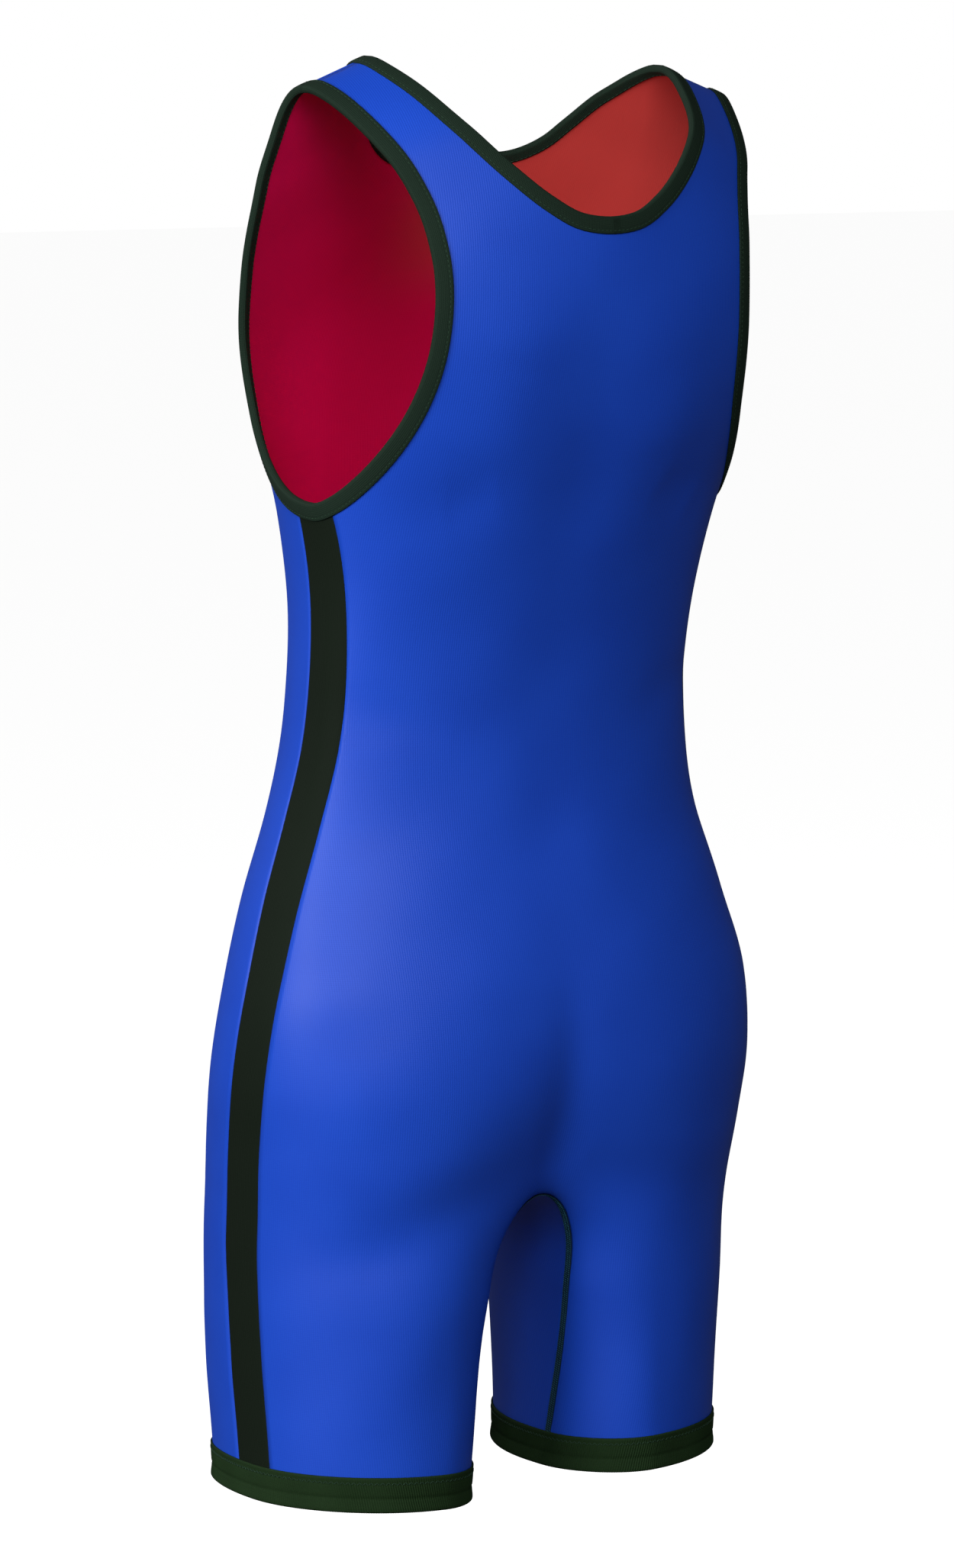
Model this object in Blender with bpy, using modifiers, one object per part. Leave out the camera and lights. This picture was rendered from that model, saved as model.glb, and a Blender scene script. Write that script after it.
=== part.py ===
# Wrestling singlet, reversible, on a general hollow figure.
# Metres, +Z up, the wearer faces -Y, the wearer's left is +X.
# The origin is under the straps, on the shoulder line, midway between the straps.

import math

import bpy
import numpy as np

# Cloth and seams
CLOTH = 0.0010
GAP = 0.0003
BACK_GAP = 0.00045
LINING_SEAM = 0.0008
LINING_DEPTH = CLOTH + GAP
CLOTH_STACK = 2 * CLOTH + GAP

# Shoulders: the straps roll over a round of this radius and slope down outward
SHOULDER_ROUND = 0.055
STRAP_SLOPE = 0.38
STRAP_LINE = 0.105
SLOPE_END = 0.27

# Legs: half the soft cleft between them, and the tilt of their openings
CLEFT = 0.030
FRONT_INNER_FULLNESS = 0.78
HEM_DOWN = 0.850
TILT_START = 0.72
TILT_OUT = 0.035
TILT_BACK = -0.020
LEG_CENTRE_X = 0.095
LEG_CENTRE_Y = -0.050

# Trim
STRIPE_HALF = 0.017
BINDING_WIDTH = 0.009
BINDING_INNER = 0.006
LEG_BAND_WIDTH = 0.020
LEG_BAND_INNER = 0.018

# Sections of the figure, a row for each height. Everything is measured from the
# shoulder line: how far down, half the width at the side, the inner side of the
# leg across, the front crest across and out, the back crest across and out, and
# how far back the side line and the inner leg line lie.
SECTION_COLUMNS = ("down", "side", "inner", "front_x", "front_y",
                   "back_x", "back_y", "side_y", "inner_y")
SECTIONS = [
    (0.00, 0.204, -0.200, 0.000, -0.040, 0.000, 0.050, -0.012, -0.042),
    (0.03, 0.203, -0.200, 0.000, -0.045, 0.000, 0.068, -0.008, -0.042),
    (0.06, 0.201, -0.200, 0.000, -0.060, 0.000, 0.084, -0.007, -0.042),
    (0.11, 0.196, -0.200, 0.000, -0.092, 0.010, 0.099, -0.006, -0.042),
    (0.16, 0.183, -0.200, 0.010, -0.120, 0.020, 0.100, -0.003, -0.042),
    (0.21, 0.163, -0.200, 0.010, -0.136, 0.020, 0.088, -0.003, -0.042),
    (0.27, 0.142, -0.200, 0.010, -0.140, 0.010, 0.066, -0.003, -0.042),
    (0.34, 0.132, -0.200, 0.000, -0.145, 0.000, 0.045, -0.009, -0.042),
    (0.40, 0.134, -0.200, 0.000, -0.150, 0.000, 0.037, -0.015, -0.032),
    (0.45, 0.144, -0.180, 0.000, -0.155, 0.005, 0.040, -0.020, -0.027),
    (0.50, 0.160, -0.130, 0.010, -0.159, 0.020, 0.051, -0.019, -0.022),
    (0.55, 0.173, -0.085, 0.025, -0.160, 0.040, 0.062, -0.017, -0.012),
    (0.60, 0.177, -0.035, 0.050, -0.159, 0.058, 0.065, -0.024, 0.008),
    (0.64, 0.174, 0.005, 0.072, -0.157, 0.069, 0.059, -0.034, 0.023),
    (0.68, 0.170, 0.0325, 0.090, -0.153, 0.077, 0.051, -0.042, 0.026),
    (0.70, 0.169, 0.0395, 0.097, -0.151, 0.079, 0.048, -0.045, 0.020),
    (0.74, 0.167, 0.0435, 0.107, -0.148, 0.081, 0.046, -0.046, 0.009),
    (0.86, 0.160, 0.0455, 0.117, -0.135, 0.082, 0.038, -0.042, -0.021),
]

# Neckline edges, from the shoulder line to the centre: across, and down the cloth
FRONT_NECK = [
    (0.104, 0.000), (0.102, 0.022), (0.096, 0.042), (0.087, 0.060),
    (0.0755, 0.078), (0.0620, 0.094), (0.045, 0.1065), (0.0235, 0.1130), (0.000, 0.1145),
]
BACK_NECK = [
    (0.104, 0.000), (0.101, 0.026), (0.094, 0.048), (0.085, 0.069),
    (0.073, 0.088), (0.057, 0.109), (0.038, 0.128), (0.018, 0.141), (0.000, 0.1445),
]

# Armhole edge, from the front of the shoulder round under the arm to its back:
# turn in degrees round the body (0 front, 90 side, 180 back), and down the cloth
ARMHOLE = [
    (48.0, 0.000), (48.6, 0.030), (49.6, 0.058), (51.2, 0.083), (52.0, 0.110),
    (52.0, 0.140), (52.0, 0.170), (53.6, 0.205), (58.0, 0.238), (66.0, 0.267),
    (77.0, 0.284), (90.0, 0.290), (104.0, 0.285), (118.0, 0.271), (130.0, 0.250),
    (138.3, 0.226), (143.2, 0.202), (145.5, 0.178), (146.0, 0.152), (144.6, 0.122),
    (142.0, 0.097), (139.0, 0.072), (136.0, 0.045), (133.8, 0.024), (132.0, 0.000),
]

# How finely the cloth is cut into facets
NECK_ROWS = 8
CENTRE_ROWS = 18
INSEAM_ROWS = 9
ARMHOLE_ROWS = 11
PANEL_COLUMNS = 7
SEAM_COLUMN = 0.003
FIRST_ROW = 0.0025
NECK_LAST_ROW = 0.012
ARMHOLE_LAST_ROW = 0.014
CROTCH_DIP = 0.004
CROTCH_EASE = 0.0004
ROW_BEND = 0.8
LAST_BENT_ROW = 18
BENT_FADE = 6
CENTRE_RUN_CROWDING = 2.2
CENTRE_ROW_CROWDING = 1.35
INSEAM_CROWDING = 1.8
SIDE_CROWDING = 1.35
COLUMN_CROWDING = 1.12
MIDDLE_CROWDING = 1.5
STRIPE_EDGE = STRIPE_HALF - GAP / 2
STRIPE_NEAR_EDGE = 0.0125
STRIPE_NEAR_MIDDLE = 0.0043
STRIPE_COLUMNS = (-STRIPE_EDGE, -STRIPE_NEAR_EDGE, -STRIPE_NEAR_MIDDLE,
                  STRIPE_NEAR_MIDDLE, STRIPE_NEAR_EDGE, STRIPE_EDGE)
ROWS = NECK_ROWS + CENTRE_ROWS + INSEAM_ROWS
CROTCH_ROW = NECK_ROWS + CENTRE_ROWS
FINE = 400
ROW_SAMPLES = 160
TURN_SAMPLES = 161
RUN_SAMPLES = 4001
STEP_SAMPLES = 12
DEGREE_LENGTH = 0.002
SMALL_STEP = 0.0001

# A point amid the armhole, and how strongly the neck binding's inner side hangs down
ARMHOLE_CENTRE = np.array([0.14, 0.0, -0.13])
DOWN_HINT = 1.05

QUARTER = math.pi / 2
ROLL_LENGTH = SHOULDER_ROUND * QUARTER
ROLL_LEAD = ROLL_LENGTH - SHOULDER_ROUND
MIRRORED = np.array([-1.0, 1.0, 1.0])

# Colours, linear, with roughness
COLOURS = {
    "royal_blue": ((0.016, 0.060, 0.480, 1.0), 0.62),
    "crimson": ((0.330, 0.006, 0.030, 1.0), 0.66),
    "binding_green": ((0.006, 0.014, 0.009, 1.0), 0.75),
    "stripe_green": ((0.007, 0.015, 0.009, 1.0), 0.72),
    "band_green": ((0.006, 0.015, 0.007, 1.0), 0.78),
}


def smooth_rows(table, at):
    """Columns of a table at the given values of its first column, joined smoothly."""
    key = table[:, 0]
    value = table[:, 1:]
    step = np.diff(key)
    slope = np.diff(value, axis=0) / step[:, None]
    lean = np.empty_like(value)
    lean[0] = slope[0]
    lean[-1] = slope[-1]
    both = (step[1:] + step[:-1])[:, None]
    lean[1:-1] = (slope[:-1] * step[1:, None] + slope[1:] * step[:-1, None]) / both
    at = np.clip(at, key[0], key[-1])
    low = np.clip(np.searchsorted(key, at, side="right") - 1, 0, len(key) - 2)
    width = step[low][..., None]
    part = ((at - key[low]) / step[low])[..., None]
    start = (1 + 2 * part) * (1 - part) ** 2 * value[low]
    start_lean = part * (1 - part) ** 2 * width * lean[low]
    end = part ** 2 * (3 - 2 * part) * value[low + 1]
    end_lean = part ** 2 * (part - 1) * width * lean[low + 1]
    return start + start_lean + end + end_lean


def ease(part):
    """Smooth step from 0 to 1."""
    part = np.clip(part, 0.0, 1.0)
    return part * part * (3 - 2 * part)


def section_sizes(down):
    """Named sizes of the figure's section at each distance down."""
    columns = smooth_rows(np.array(SECTIONS), down)
    return {name: columns[..., i] for i, name in enumerate(SECTION_COLUMNS[1:])}


def down_of(run):
    """Drop below the shoulder line, and share of full depth, after a run of cloth."""
    roll = np.clip(run / SHOULDER_ROUND, 0.0, QUARTER)
    rolled = SHOULDER_ROUND * (1 - np.cos(roll))
    return np.where(run < ROLL_LENGTH, rolled, run - ROLL_LEAD), np.sin(roll)


def surface(turn, run):
    """Outer face of the garment. Turn goes round from centre front (0) by the side
    (90 degrees) to centre back (180); below 0 and above 180 it is the inner leg."""
    turn, run = np.broadcast_arrays(np.asarray(turn, float), np.asarray(run, float))
    down, fullness = down_of(run)
    size = section_sizes(down)
    front = turn <= QUARTER
    angle = np.where(front, turn, 2 * QUARTER - turn)
    crest_x = np.where(front, size["front_x"], size["back_x"])
    crest_y = np.where(front, size["front_y"], size["back_y"])
    outer = angle >= 0
    reach = np.where(outer, size["side"] - crest_x, crest_x - size["inner"])
    base_y = np.where(outer, size["side_y"], size["inner_y"])
    power = np.where(front & ~outer, FRONT_INNER_FULLNESS, 1.0)
    across = crest_x + reach * np.sin(angle)
    depth = base_y + (crest_y - base_y) * np.maximum(np.cos(angle), 0.0) ** power
    x = np.sqrt(np.maximum(across ** 2 - CLEFT ** 2, 0.0))
    y = depth * fullness
    strap = ease(1 - down / SLOPE_END)
    leg = ease((down - TILT_START) / (HEM_DOWN - TILT_START))
    tilt = TILT_OUT * (x - LEG_CENTRE_X) - TILT_BACK * (y - LEG_CENTRE_Y)
    z = CLOTH_STACK - down - STRAP_SLOPE * (x - STRAP_LINE) * strap + tilt * leg
    return np.stack([x, y, z], axis=-1)


def turn_at(is_front, x, run):
    """Turn at which the front or back is x from the middle plane."""
    size = section_sizes(down_of(run)[0])
    crest = size["front_x"] if is_front else size["back_x"]
    across = np.sqrt(np.asarray(x, float) ** 2 + CLEFT ** 2)
    inward = (across - crest) / np.maximum(crest - size["inner"], 1e-6)
    outward = (across - crest) / (size["side"] - crest)
    angle = np.arcsin(np.clip(np.where(across < crest, inward, outward), -1.0, 1.0))
    return angle if is_front else 2 * QUARTER - angle


def along(points):
    """Length along a line of points, from its first."""
    steps = np.linalg.norm(np.diff(points, axis=0), axis=1)
    return np.concatenate([[0.0], np.cumsum(steps)])


def at_lengths(line, points, lengths):
    """Places on a fine line of places, at these lengths along its points."""
    measured = along(points)
    return np.stack([np.interp(lengths, measured, line[:, i]) for i in range(line.shape[1])], 1)


def spread(total, count, first, last):
    """Lengths from 0 to total in count steps, the first and last ones of these sizes."""
    middle = np.linspace(first, total - last, count - 1)
    return np.concatenate([[0.0], middle, [total]])


def fine_edge(rows):
    """A fine smooth line through the rows of an edge table."""
    rows = np.array(rows)
    scale = np.array([1.0, 1.0]) if rows[:, 0].max() < 1 else np.array([DEGREE_LENGTH, 1.0])
    chord = along(rows * scale)
    return smooth_rows(np.column_stack([chord, rows]), np.linspace(0, chord[-1], FINE))


def moved_in(place, edge, width, inward_hint):
    """The same edge, moved this far into the cloth along its surface."""
    points = place(edge[:, 0], edge[:, 1])
    by_first = (place(edge[:, 0] + SMALL_STEP, edge[:, 1]) - points) / SMALL_STEP
    by_second = (place(edge[:, 0], edge[:, 1] + SMALL_STEP) - points) / SMALL_STEP
    normal = np.cross(by_first, by_second)
    inward = np.cross(normal, np.gradient(points, axis=0))
    inward /= np.linalg.norm(inward, axis=1)[:, None]
    inward *= np.sign((inward * inward_hint).sum(axis=1))[:, None]
    goal = inward * width
    a = (by_first ** 2).sum(axis=1)
    b = (by_first * by_second).sum(axis=1)
    c = (by_second ** 2).sum(axis=1)
    p = (by_first * goal).sum(axis=1)
    q = (by_second * goal).sum(axis=1)
    share = a * c - b * b
    return edge + np.column_stack([(c * p - b * q) / share, (a * q - b * p) / share])


def neck_lines(is_front):
    """Neckline edge and its binding's line, as turn and run, shoulder to centre."""
    rows = np.array(FRONT_NECK if is_front else BACK_NECK)
    both = np.concatenate([rows, rows[-2::-1] * np.array([-1.0, 1.0])])
    edge = fine_edge(both)

    def place(x, run):
        points = surface(turn_at(is_front, np.abs(x), run), run)
        return points * np.stack([np.sign(x) + (x == 0), np.ones_like(x), np.ones_like(x)], -1)

    down = np.array([0.0, 0.0, -1.0])
    outward = np.zeros((FINE, 3))
    outward[:, 0] = np.sign(edge[:, 0])
    share = np.abs(edge[:, 0:1]) / edge[0, 0]
    inner = moved_in(place, edge, BINDING_WIDTH, outward * share + down * (DOWN_HINT - share))
    lines = []
    for line in (edge, inner):
        half = line[line[:, 0] > 0]
        end_run = np.interp(0.0, line[::-1, 0], line[::-1, 1])
        start = np.array([[half[0, 0], 0.0]])
        half = np.concatenate([start, half[half[:, 1] > 1e-6], [[0.0, end_run]]])
        turn = turn_at(is_front, half[:, 0], half[:, 1])
        fine = np.column_stack([turn, half[:, 1]])
        points = surface(fine[:, 0], fine[:, 1])
        lengths = spread(along(points)[-1], NECK_ROWS, FIRST_ROW, NECK_LAST_ROW)
        lines.append(at_lengths(fine, points, lengths))
    return lines


def side_distance(turn, run):
    """Distance round the body from the side line, plus behind it, minus before it."""
    parts = np.linspace(0.0, 1.0, STEP_SAMPLES)
    turns = QUARTER + (turn[:, None] - QUARTER) * parts
    points = surface(turns, run[:, None])
    length = np.linalg.norm(np.diff(points, axis=1), axis=2).sum(axis=1)
    return np.sign(turn - QUARTER) * length


def side_turn(run, distance):
    """Turn at this distance from the side line, for each run."""
    turns = np.linspace(math.radians(50), math.radians(130), TURN_SAMPLES)
    found = []
    for one in np.atleast_1d(run):
        measured = side_distance(turns, np.full_like(turns, one))
        found.append(np.interp(distance, measured, turns))
    return np.array(found)


def armhole_lines():
    """Fine armhole edge and its binding's line, with their side distances."""
    edge = fine_edge(ARMHOLE)
    edge[:, 0] = np.radians(edge[:, 0])
    points = surface(edge[:, 0], edge[:, 1])
    away = np.concatenate([[[-1.0, 0.0, 0.0]], (points - ARMHOLE_CENTRE)[1:-1], [[-1.0, 0.0, 0.0]]])
    inner = moved_in(surface, edge, BINDING_WIDTH, away)
    inner = inner[inner[:, 1] > 1e-6]
    for line_end, edge_end in ((0, 0), (-1, -1)):
        across = surface(edge[edge_end, 0] + SMALL_STEP, 0.0) - surface(edge[edge_end, 0], 0.0)
        reach = BINDING_WIDTH / (np.linalg.norm(across) / SMALL_STEP)
        sign = -1.0 if edge_end == 0 else 1.0
        cap = np.array([[edge[edge_end, 0] + sign * reach, 0.0]])
        inner = np.concatenate([cap, inner]) if edge_end == 0 else np.concatenate([inner, cap])
    return edge, inner


ARMHOLE_LINES = armhole_lines()


def armhole_cross(line, distance):
    """Where the armhole line passes this distance from the side line."""
    near = np.abs(line[:, 0] - QUARTER) < math.radians(40)
    part = line[near]
    measured = side_distance(part[:, 0], part[:, 1])
    return np.array([np.interp(distance, measured, part[:, 0]),
                     np.interp(distance, measured, part[:, 1])])


def armhole_rows(line, is_front):
    """The armhole line of one panel, from the shoulder to the stripe."""
    reach = STRIPE_HALF + GAP / 2
    if is_front:
        end = armhole_cross(line, -reach)
        half = line[(line[:, 0] < end[0]) & (line[:, 0] < QUARTER)]
    else:
        end = armhole_cross(line, reach)
        half = line[(line[:, 0] > end[0]) & (line[:, 0] > QUARTER)][::-1]
    fine = np.concatenate([half, [end]])
    points = surface(fine[:, 0], fine[:, 1])
    lengths = spread(along(points)[-1], ARMHOLE_ROWS, FIRST_ROW, ARMHOLE_LAST_ROW)
    return at_lengths(fine, points, lengths)


def crotch_run():
    """Run of cloth at which the legs part, on the inner leg line."""
    run = np.linspace(0.60, 0.80, RUN_SAMPLES)
    inner = section_sizes(down_of(run)[0])["inner"]
    return float(np.interp(CLEFT, inner, run))


CROTCH_RUN = crotch_run()
HEM_RUN = HEM_DOWN + ROLL_LEAD


def centre_line(is_front, start_run):
    """Rows down the middle plane, from the neck binding to the crotch, closer below."""
    part = np.linspace(0.0, 1.0, FINE)
    run = CROTCH_RUN - (CROTCH_RUN - start_run) * (1 - part) ** CENTRE_RUN_CROWDING
    fine = np.column_stack([turn_at(is_front, np.zeros(FINE), run), run])
    fine[-1, 0] = -QUARTER if is_front else 3 * QUARTER
    points = surface(fine[:, 0], fine[:, 1])
    total = along(points)[-1]
    step = np.linspace(0.0, 1.0, CENTRE_ROWS + 1)
    lengths = total * (1 - (1 - step) ** CENTRE_ROW_CROWDING)
    return at_lengths(fine, points, lengths)[1:]


def inseam_runs():
    """Runs down the inner leg, from the crotch to the hem, with the band's row last."""
    step = np.linspace(0.0, 1.0, INSEAM_ROWS)[1:]
    top = HEM_RUN - LEG_BAND_WIDTH
    return np.append(CROTCH_RUN + (top - CROTCH_RUN) * step ** INSEAM_CROWDING, HEM_RUN)


def side_runs():
    """Runs down the side, from the armhole binding to the hem, closer above the legs."""
    start = armhole_cross(ARMHOLE_LINES[1], 0.0)[1]
    step = np.linspace(0.0, 1.0, CROTCH_ROW - ARMHOLE_ROWS + 1)[1:]
    end = CROTCH_RUN + CROTCH_DIP
    body = end - (end - start) * (1 - step) ** SIDE_CROWDING
    leg = inseam_runs()
    leg[0] = (body[-1] + leg[1]) / 2
    return np.concatenate([body, leg])


def panel_grid(is_front):
    """Half a panel: rows of places from the middle to the side, and its two edges."""
    neck_edge, neck_line = neck_lines(is_front)
    arm_edge = armhole_rows(ARMHOLE_LINES[0], is_front)
    arm_line = armhole_rows(ARMHOLE_LINES[1], is_front)
    centre = centre_line(is_front, neck_line[-1, 1])
    inseam = inseam_runs()
    inner_turn = -QUARTER if is_front else 3 * QUARTER
    inner = np.column_stack([np.full(INSEAM_ROWS, inner_turn), inseam])
    left = np.concatenate([neck_line, centre, inner])
    runs = side_runs()
    reach = STRIPE_HALF + GAP / 2
    side = np.column_stack([side_turn(runs, -reach if is_front else reach), runs])
    right = np.concatenate([arm_line, side])
    part = np.linspace(0.0, 1.0, ROW_SAMPLES) ** MIDDLE_CROWDING
    bends = 1 + ROW_BEND * ease((LAST_BENT_ROW - np.arange(len(left))) / BENT_FADE)
    rows = []
    for start, end, bend in zip(left, right, bends):
        shares = np.column_stack([part, 1 - (1 - part) ** bend])
        fine = start + (end - start) * shares
        points = surface(fine[:, 0], fine[:, 1])
        total = along(points)[-1]
        spaced = np.linspace(0.0, 1.0, PANEL_COLUMNS + 1) ** COLUMN_CROWDING
        middle = SEAM_COLUMN + (total - 2 * SEAM_COLUMN) * spaced
        rows.append(at_lengths(fine, points, np.concatenate([[0.0], middle, [total]])))
    return np.array(rows), neck_edge, arm_edge


def panel_points(is_front, seam):
    """Points of half a panel, with the seam gaps at the shoulder and the inner leg."""
    grid, neck_edge, arm_edge = panel_grid(is_front)
    shift = np.array([0.0, -seam / 2 if is_front else seam / 2, 0.0])
    points = surface(grid[..., 0], grid[..., 1])
    neck = surface(neck_edge[:, 0], neck_edge[:, 1])
    arm = surface(arm_edge[:, 0], arm_edge[:, 1])
    points[0] += shift
    points[CROTCH_ROW:, 0] += shift
    points[CROTCH_ROW, 0, 1] += CROTCH_EASE * np.sign(shift[1])
    neck[0] += shift
    arm[0] += shift
    points[NECK_ROWS:CROTCH_ROW + 1, 0, 0] = 0.0
    neck[-1, 0] = 0.0
    return points, neck, arm


def side_patch(distances):
    """Cloth at these distances from the side line, from the armhole to the hem."""
    tops = [np.array([armhole_cross(line, d) for d in distances]) for line in ARMHOLE_LINES]
    runs = side_runs()
    turns = np.column_stack([side_turn(runs, d) for d in distances])
    lower = np.stack([turns, np.broadcast_to(runs[:, None], turns.shape)], axis=-1)
    grid = np.concatenate([[tops[0]], [tops[1]], lower])
    return surface(grid[..., 0], grid[..., 1])


def grid_faces(rows, columns, first, swap_split, flip):
    """Triangles of a grid of points, all split along the same diagonal."""
    row, column = np.meshgrid(np.arange(rows - 1), np.arange(columns - 1), indexing="ij")
    a = (first + row * columns + column).ravel()
    b = a + columns
    c = b + 1
    d = a + 1
    if swap_split:
        faces = np.concatenate([np.column_stack([a, b, d]), np.column_stack([b, c, d])])
    else:
        faces = np.concatenate([np.column_stack([a, b, c]), np.column_stack([a, c, d])])
    return faces[:, ::-1] if flip else faces


def joined(patches):
    """Points and triangles of several grids, as one open surface."""
    points = []
    faces = []
    first = 0
    for grid, swap_split, flip in patches:
        rows, columns = grid.shape[:2]
        faces.append(grid_faces(rows, columns, first, swap_split, flip))
        points.append(grid.reshape(-1, 3))
        first += rows * columns
    return np.concatenate(points), np.concatenate(faces)


def unit(vectors):
    """Vectors brought to length one."""
    return vectors / np.linalg.norm(vectors, axis=-1, keepdims=True)


def cloth_normals(patches):
    """Outward normals at the points of several grids that share their edges."""
    points, faces = joined(patches)
    same = np.unique(np.round(points / 0.00002), axis=0, return_inverse=True)[1].ravel()
    corners = points[faces]
    total = np.zeros((same.max() + 1, 3))
    for i in range(3):
        ahead = unit(corners[:, (i + 1) % 3] - corners[:, i])
        behind = unit(corners[:, (i + 2) % 3] - corners[:, i])
        cosine = np.clip((ahead * behind).sum(axis=1), -1.0, 1.0)
        face_normal = unit(np.cross(ahead, behind))
        np.add.at(total, same[faces[:, i]], face_normal * np.arccos(cosine)[:, None])
    normals = total[same]
    normals[points[:, 0] < 0.00001, 0] = 0.0
    normals = unit(normals)
    found = []
    first = 0
    for grid, _, _ in patches:
        count = grid.shape[0] * grid.shape[1]
        found.append(normals[first:first + count].reshape(grid.shape))
        first += count
    return found


def tape_rings(edge, line, edge_normal, line_normal, outer_width, inner_width):
    """Rings of a tape folded over an edge: out along one face, round, back inside."""
    past = unit(edge - line)
    inner_normal = unit(edge_normal + (line_normal - edge_normal) * inner_width / outer_width)
    face = GAP
    top = GAP + CLOTH
    back = -(CLOTH_STACK + BACK_GAP)
    base = back - CLOTH
    inner_share = inner_width / outer_width
    rise = [face, top, top, 0.5 * top, base - 0.5 * back, base, base, back, back, face]
    place = ["line", "line", "edge", "past", "past", "edge", "inner", "inner", "wall", "wall"]
    spots = {
        "line": line,
        "edge": edge,
        "past": edge + past * (GAP + CLOTH),
        "wall": edge + past * GAP,
        "inner": edge + (line - edge) * inner_share,
    }
    normals = {"line": line_normal, "edge": edge_normal, "past": edge_normal,
               "wall": edge_normal, "inner": inner_normal}
    rings = [spots[name] + normals[name] * height for name, height in zip(place, rise)]
    return np.stack(rings, axis=1)


def tape_mesh(rings, closed, swap_split):
    """Points and triangles of a tube of rings."""
    count, size = rings.shape[:2]
    last = count if closed else count - 1
    faces = []
    for i in range(last):
        here = i * size
        there = ((i + 1) % count) * size
        for j in range(size):
            k = (j + 1) % size
            a, b, c, d = here + j, there + j, there + k, here + k
            toward_edge = j in (1, 2, 7)
            if toward_edge != swap_split:
                faces += [(a, b, d), (b, c, d)]
            else:
                faces += [(a, b, c), (a, c, d)]
    return rings.reshape(-1, 3), np.array(faces)


def material(name, colour):
    """A plain cloth material."""
    made = bpy.data.materials.new(name)
    made.use_nodes = True
    shader = made.node_tree.nodes["Principled BSDF"]
    shader.inputs["Base Color"].default_value = COLOURS[colour][0]
    shader.inputs["Roughness"].default_value = COLOURS[colour][1]
    shader.inputs["Metallic"].default_value = 0.0
    made.diffuse_color = COLOURS[colour][0]
    return made


def add_object(name, points, faces, colour, collection):
    """A named object in the collection, with its own material."""
    mesh = bpy.data.meshes.new(name)
    mesh.from_pydata(points.tolist(), [], faces.tolist())
    mesh.validate()
    made = bpy.data.objects.new(name, mesh)
    made.data.materials.append(material(name + "_cloth", colour))
    collection.objects.link(made)
    return made


def add_weld(made):
    """Joins the grids of a piece where they share points."""
    weld = made.modifiers.new("join_grids", "WELD")
    weld.merge_threshold = 0.00002


def add_mirror(made):
    """Completes a half piece across the middle plane."""
    mirror = made.modifiers.new("other_half", "MIRROR")
    mirror.use_axis = (True, False, False)
    mirror.use_clip = True
    mirror.merge_threshold = 0.00005


def add_depth(made, depth):
    """Moves an open surface inward by this depth."""
    displace = made.modifiers.new("set_in", "DISPLACE")
    displace.direction = "NORMAL"
    displace.mid_level = 0.0
    displace.strength = -depth


def add_cloth(made):
    """Gives an open surface its cloth thickness, inward."""
    solid = made.modifiers.new("cloth", "SOLIDIFY")
    solid.thickness = CLOTH
    solid.offset = -1.0
    solid.use_even_offset = False
    solid.use_rim = True


def build_panels(collection):
    """Outer panels and the inner layer behind them, front and back."""
    shared = {}
    for is_front in (True, False):
        side_name = "front" if is_front else "back"
        turned = not is_front
        for layer, seam in (("panel", GAP), ("lining", LINING_SEAM)):
            points, neck, arm = panel_points(is_front, seam)
            neck_strip = np.stack([neck, points[:NECK_ROWS + 1, 0]], axis=1)
            arm_strip = np.stack([points[:ARMHOLE_ROWS + 1, -1], arm], axis=1)
            patches = [(points, turned, turned), (neck_strip, turned, turned),
                       (arm_strip, is_front, turned)]
            if layer == "panel":
                shared[side_name] = (patches, cloth_normals(patches))
            else:
                under = np.array([STRIPE_HALF + GAP / 2, STRIPE_NEAR_EDGE, STRIPE_NEAR_MIDDLE, GAP / 2])
                side = side_patch(-under if is_front else under)
                side[0, 0] = arm[-1]
                side[1:, 0] = points[ARMHOLE_ROWS:, -1]
                patches.append((side, turned, turned))
            colour = "royal_blue" if layer == "panel" else "crimson"
            made = add_object(side_name + "_" + layer, *joined(patches), colour, collection)
            add_weld(made)
            add_mirror(made)
            if layer == "lining":
                add_depth(made, LINING_DEPTH)
            add_cloth(made)
    return shared


def build_stripes(collection):
    """The inset down each side, from the armhole to the leg band."""
    patches = [(side_patch(np.array(STRIPE_COLUMNS)), False, False)]
    for name, mirrored in (("side_stripe_left", False), ("side_stripe_right", True)):
        points, faces = joined(patches)
        placed = points * MIRRORED if mirrored else points
        turned = faces[:, ::-1] if mirrored else faces
        add_cloth(add_object(name, placed, turned, "stripe_green", collection))
    return patches[0][0], cloth_normals(patches)[0]


def averaged(first, second):
    """Midway between two points or normals, as a row of one."""
    return ((first + second) / 2)[None]


def strip_of(shared, side_name, patch, column):
    """A column of a panel's edge strip, with its normals."""
    patches, normals = shared[side_name]
    return patches[patch][0][:, column], normals[patch][:, column]


def build_neck_binding(shared, collection):
    """Tape folded over the neck edge, from centre back over the shoulder to front."""
    found = []
    for column in (0, 1):
        back, back_normal = strip_of(shared, "back", 1, column)
        front, front_normal = strip_of(shared, "front", 1, column)
        found.append(np.concatenate([back[:0:-1], averaged(front[0], back[0]), front[1:]]))
        found.append(unit(np.concatenate([back_normal[:0:-1],
                                          averaged(front_normal[0], back_normal[0]),
                                          front_normal[1:]])))
    edge, edge_normal, line, line_normal = found
    rings = tape_rings(edge, line, edge_normal, line_normal, BINDING_WIDTH, BINDING_INNER)
    rings[0, :, 0] = 0.0
    rings[-1, :, 0] = 0.0
    points, faces = tape_mesh(rings, False, False)
    binding = add_object("neck_binding", points, faces[:, ::-1], "binding_green", collection)
    add_mirror(binding)


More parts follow.
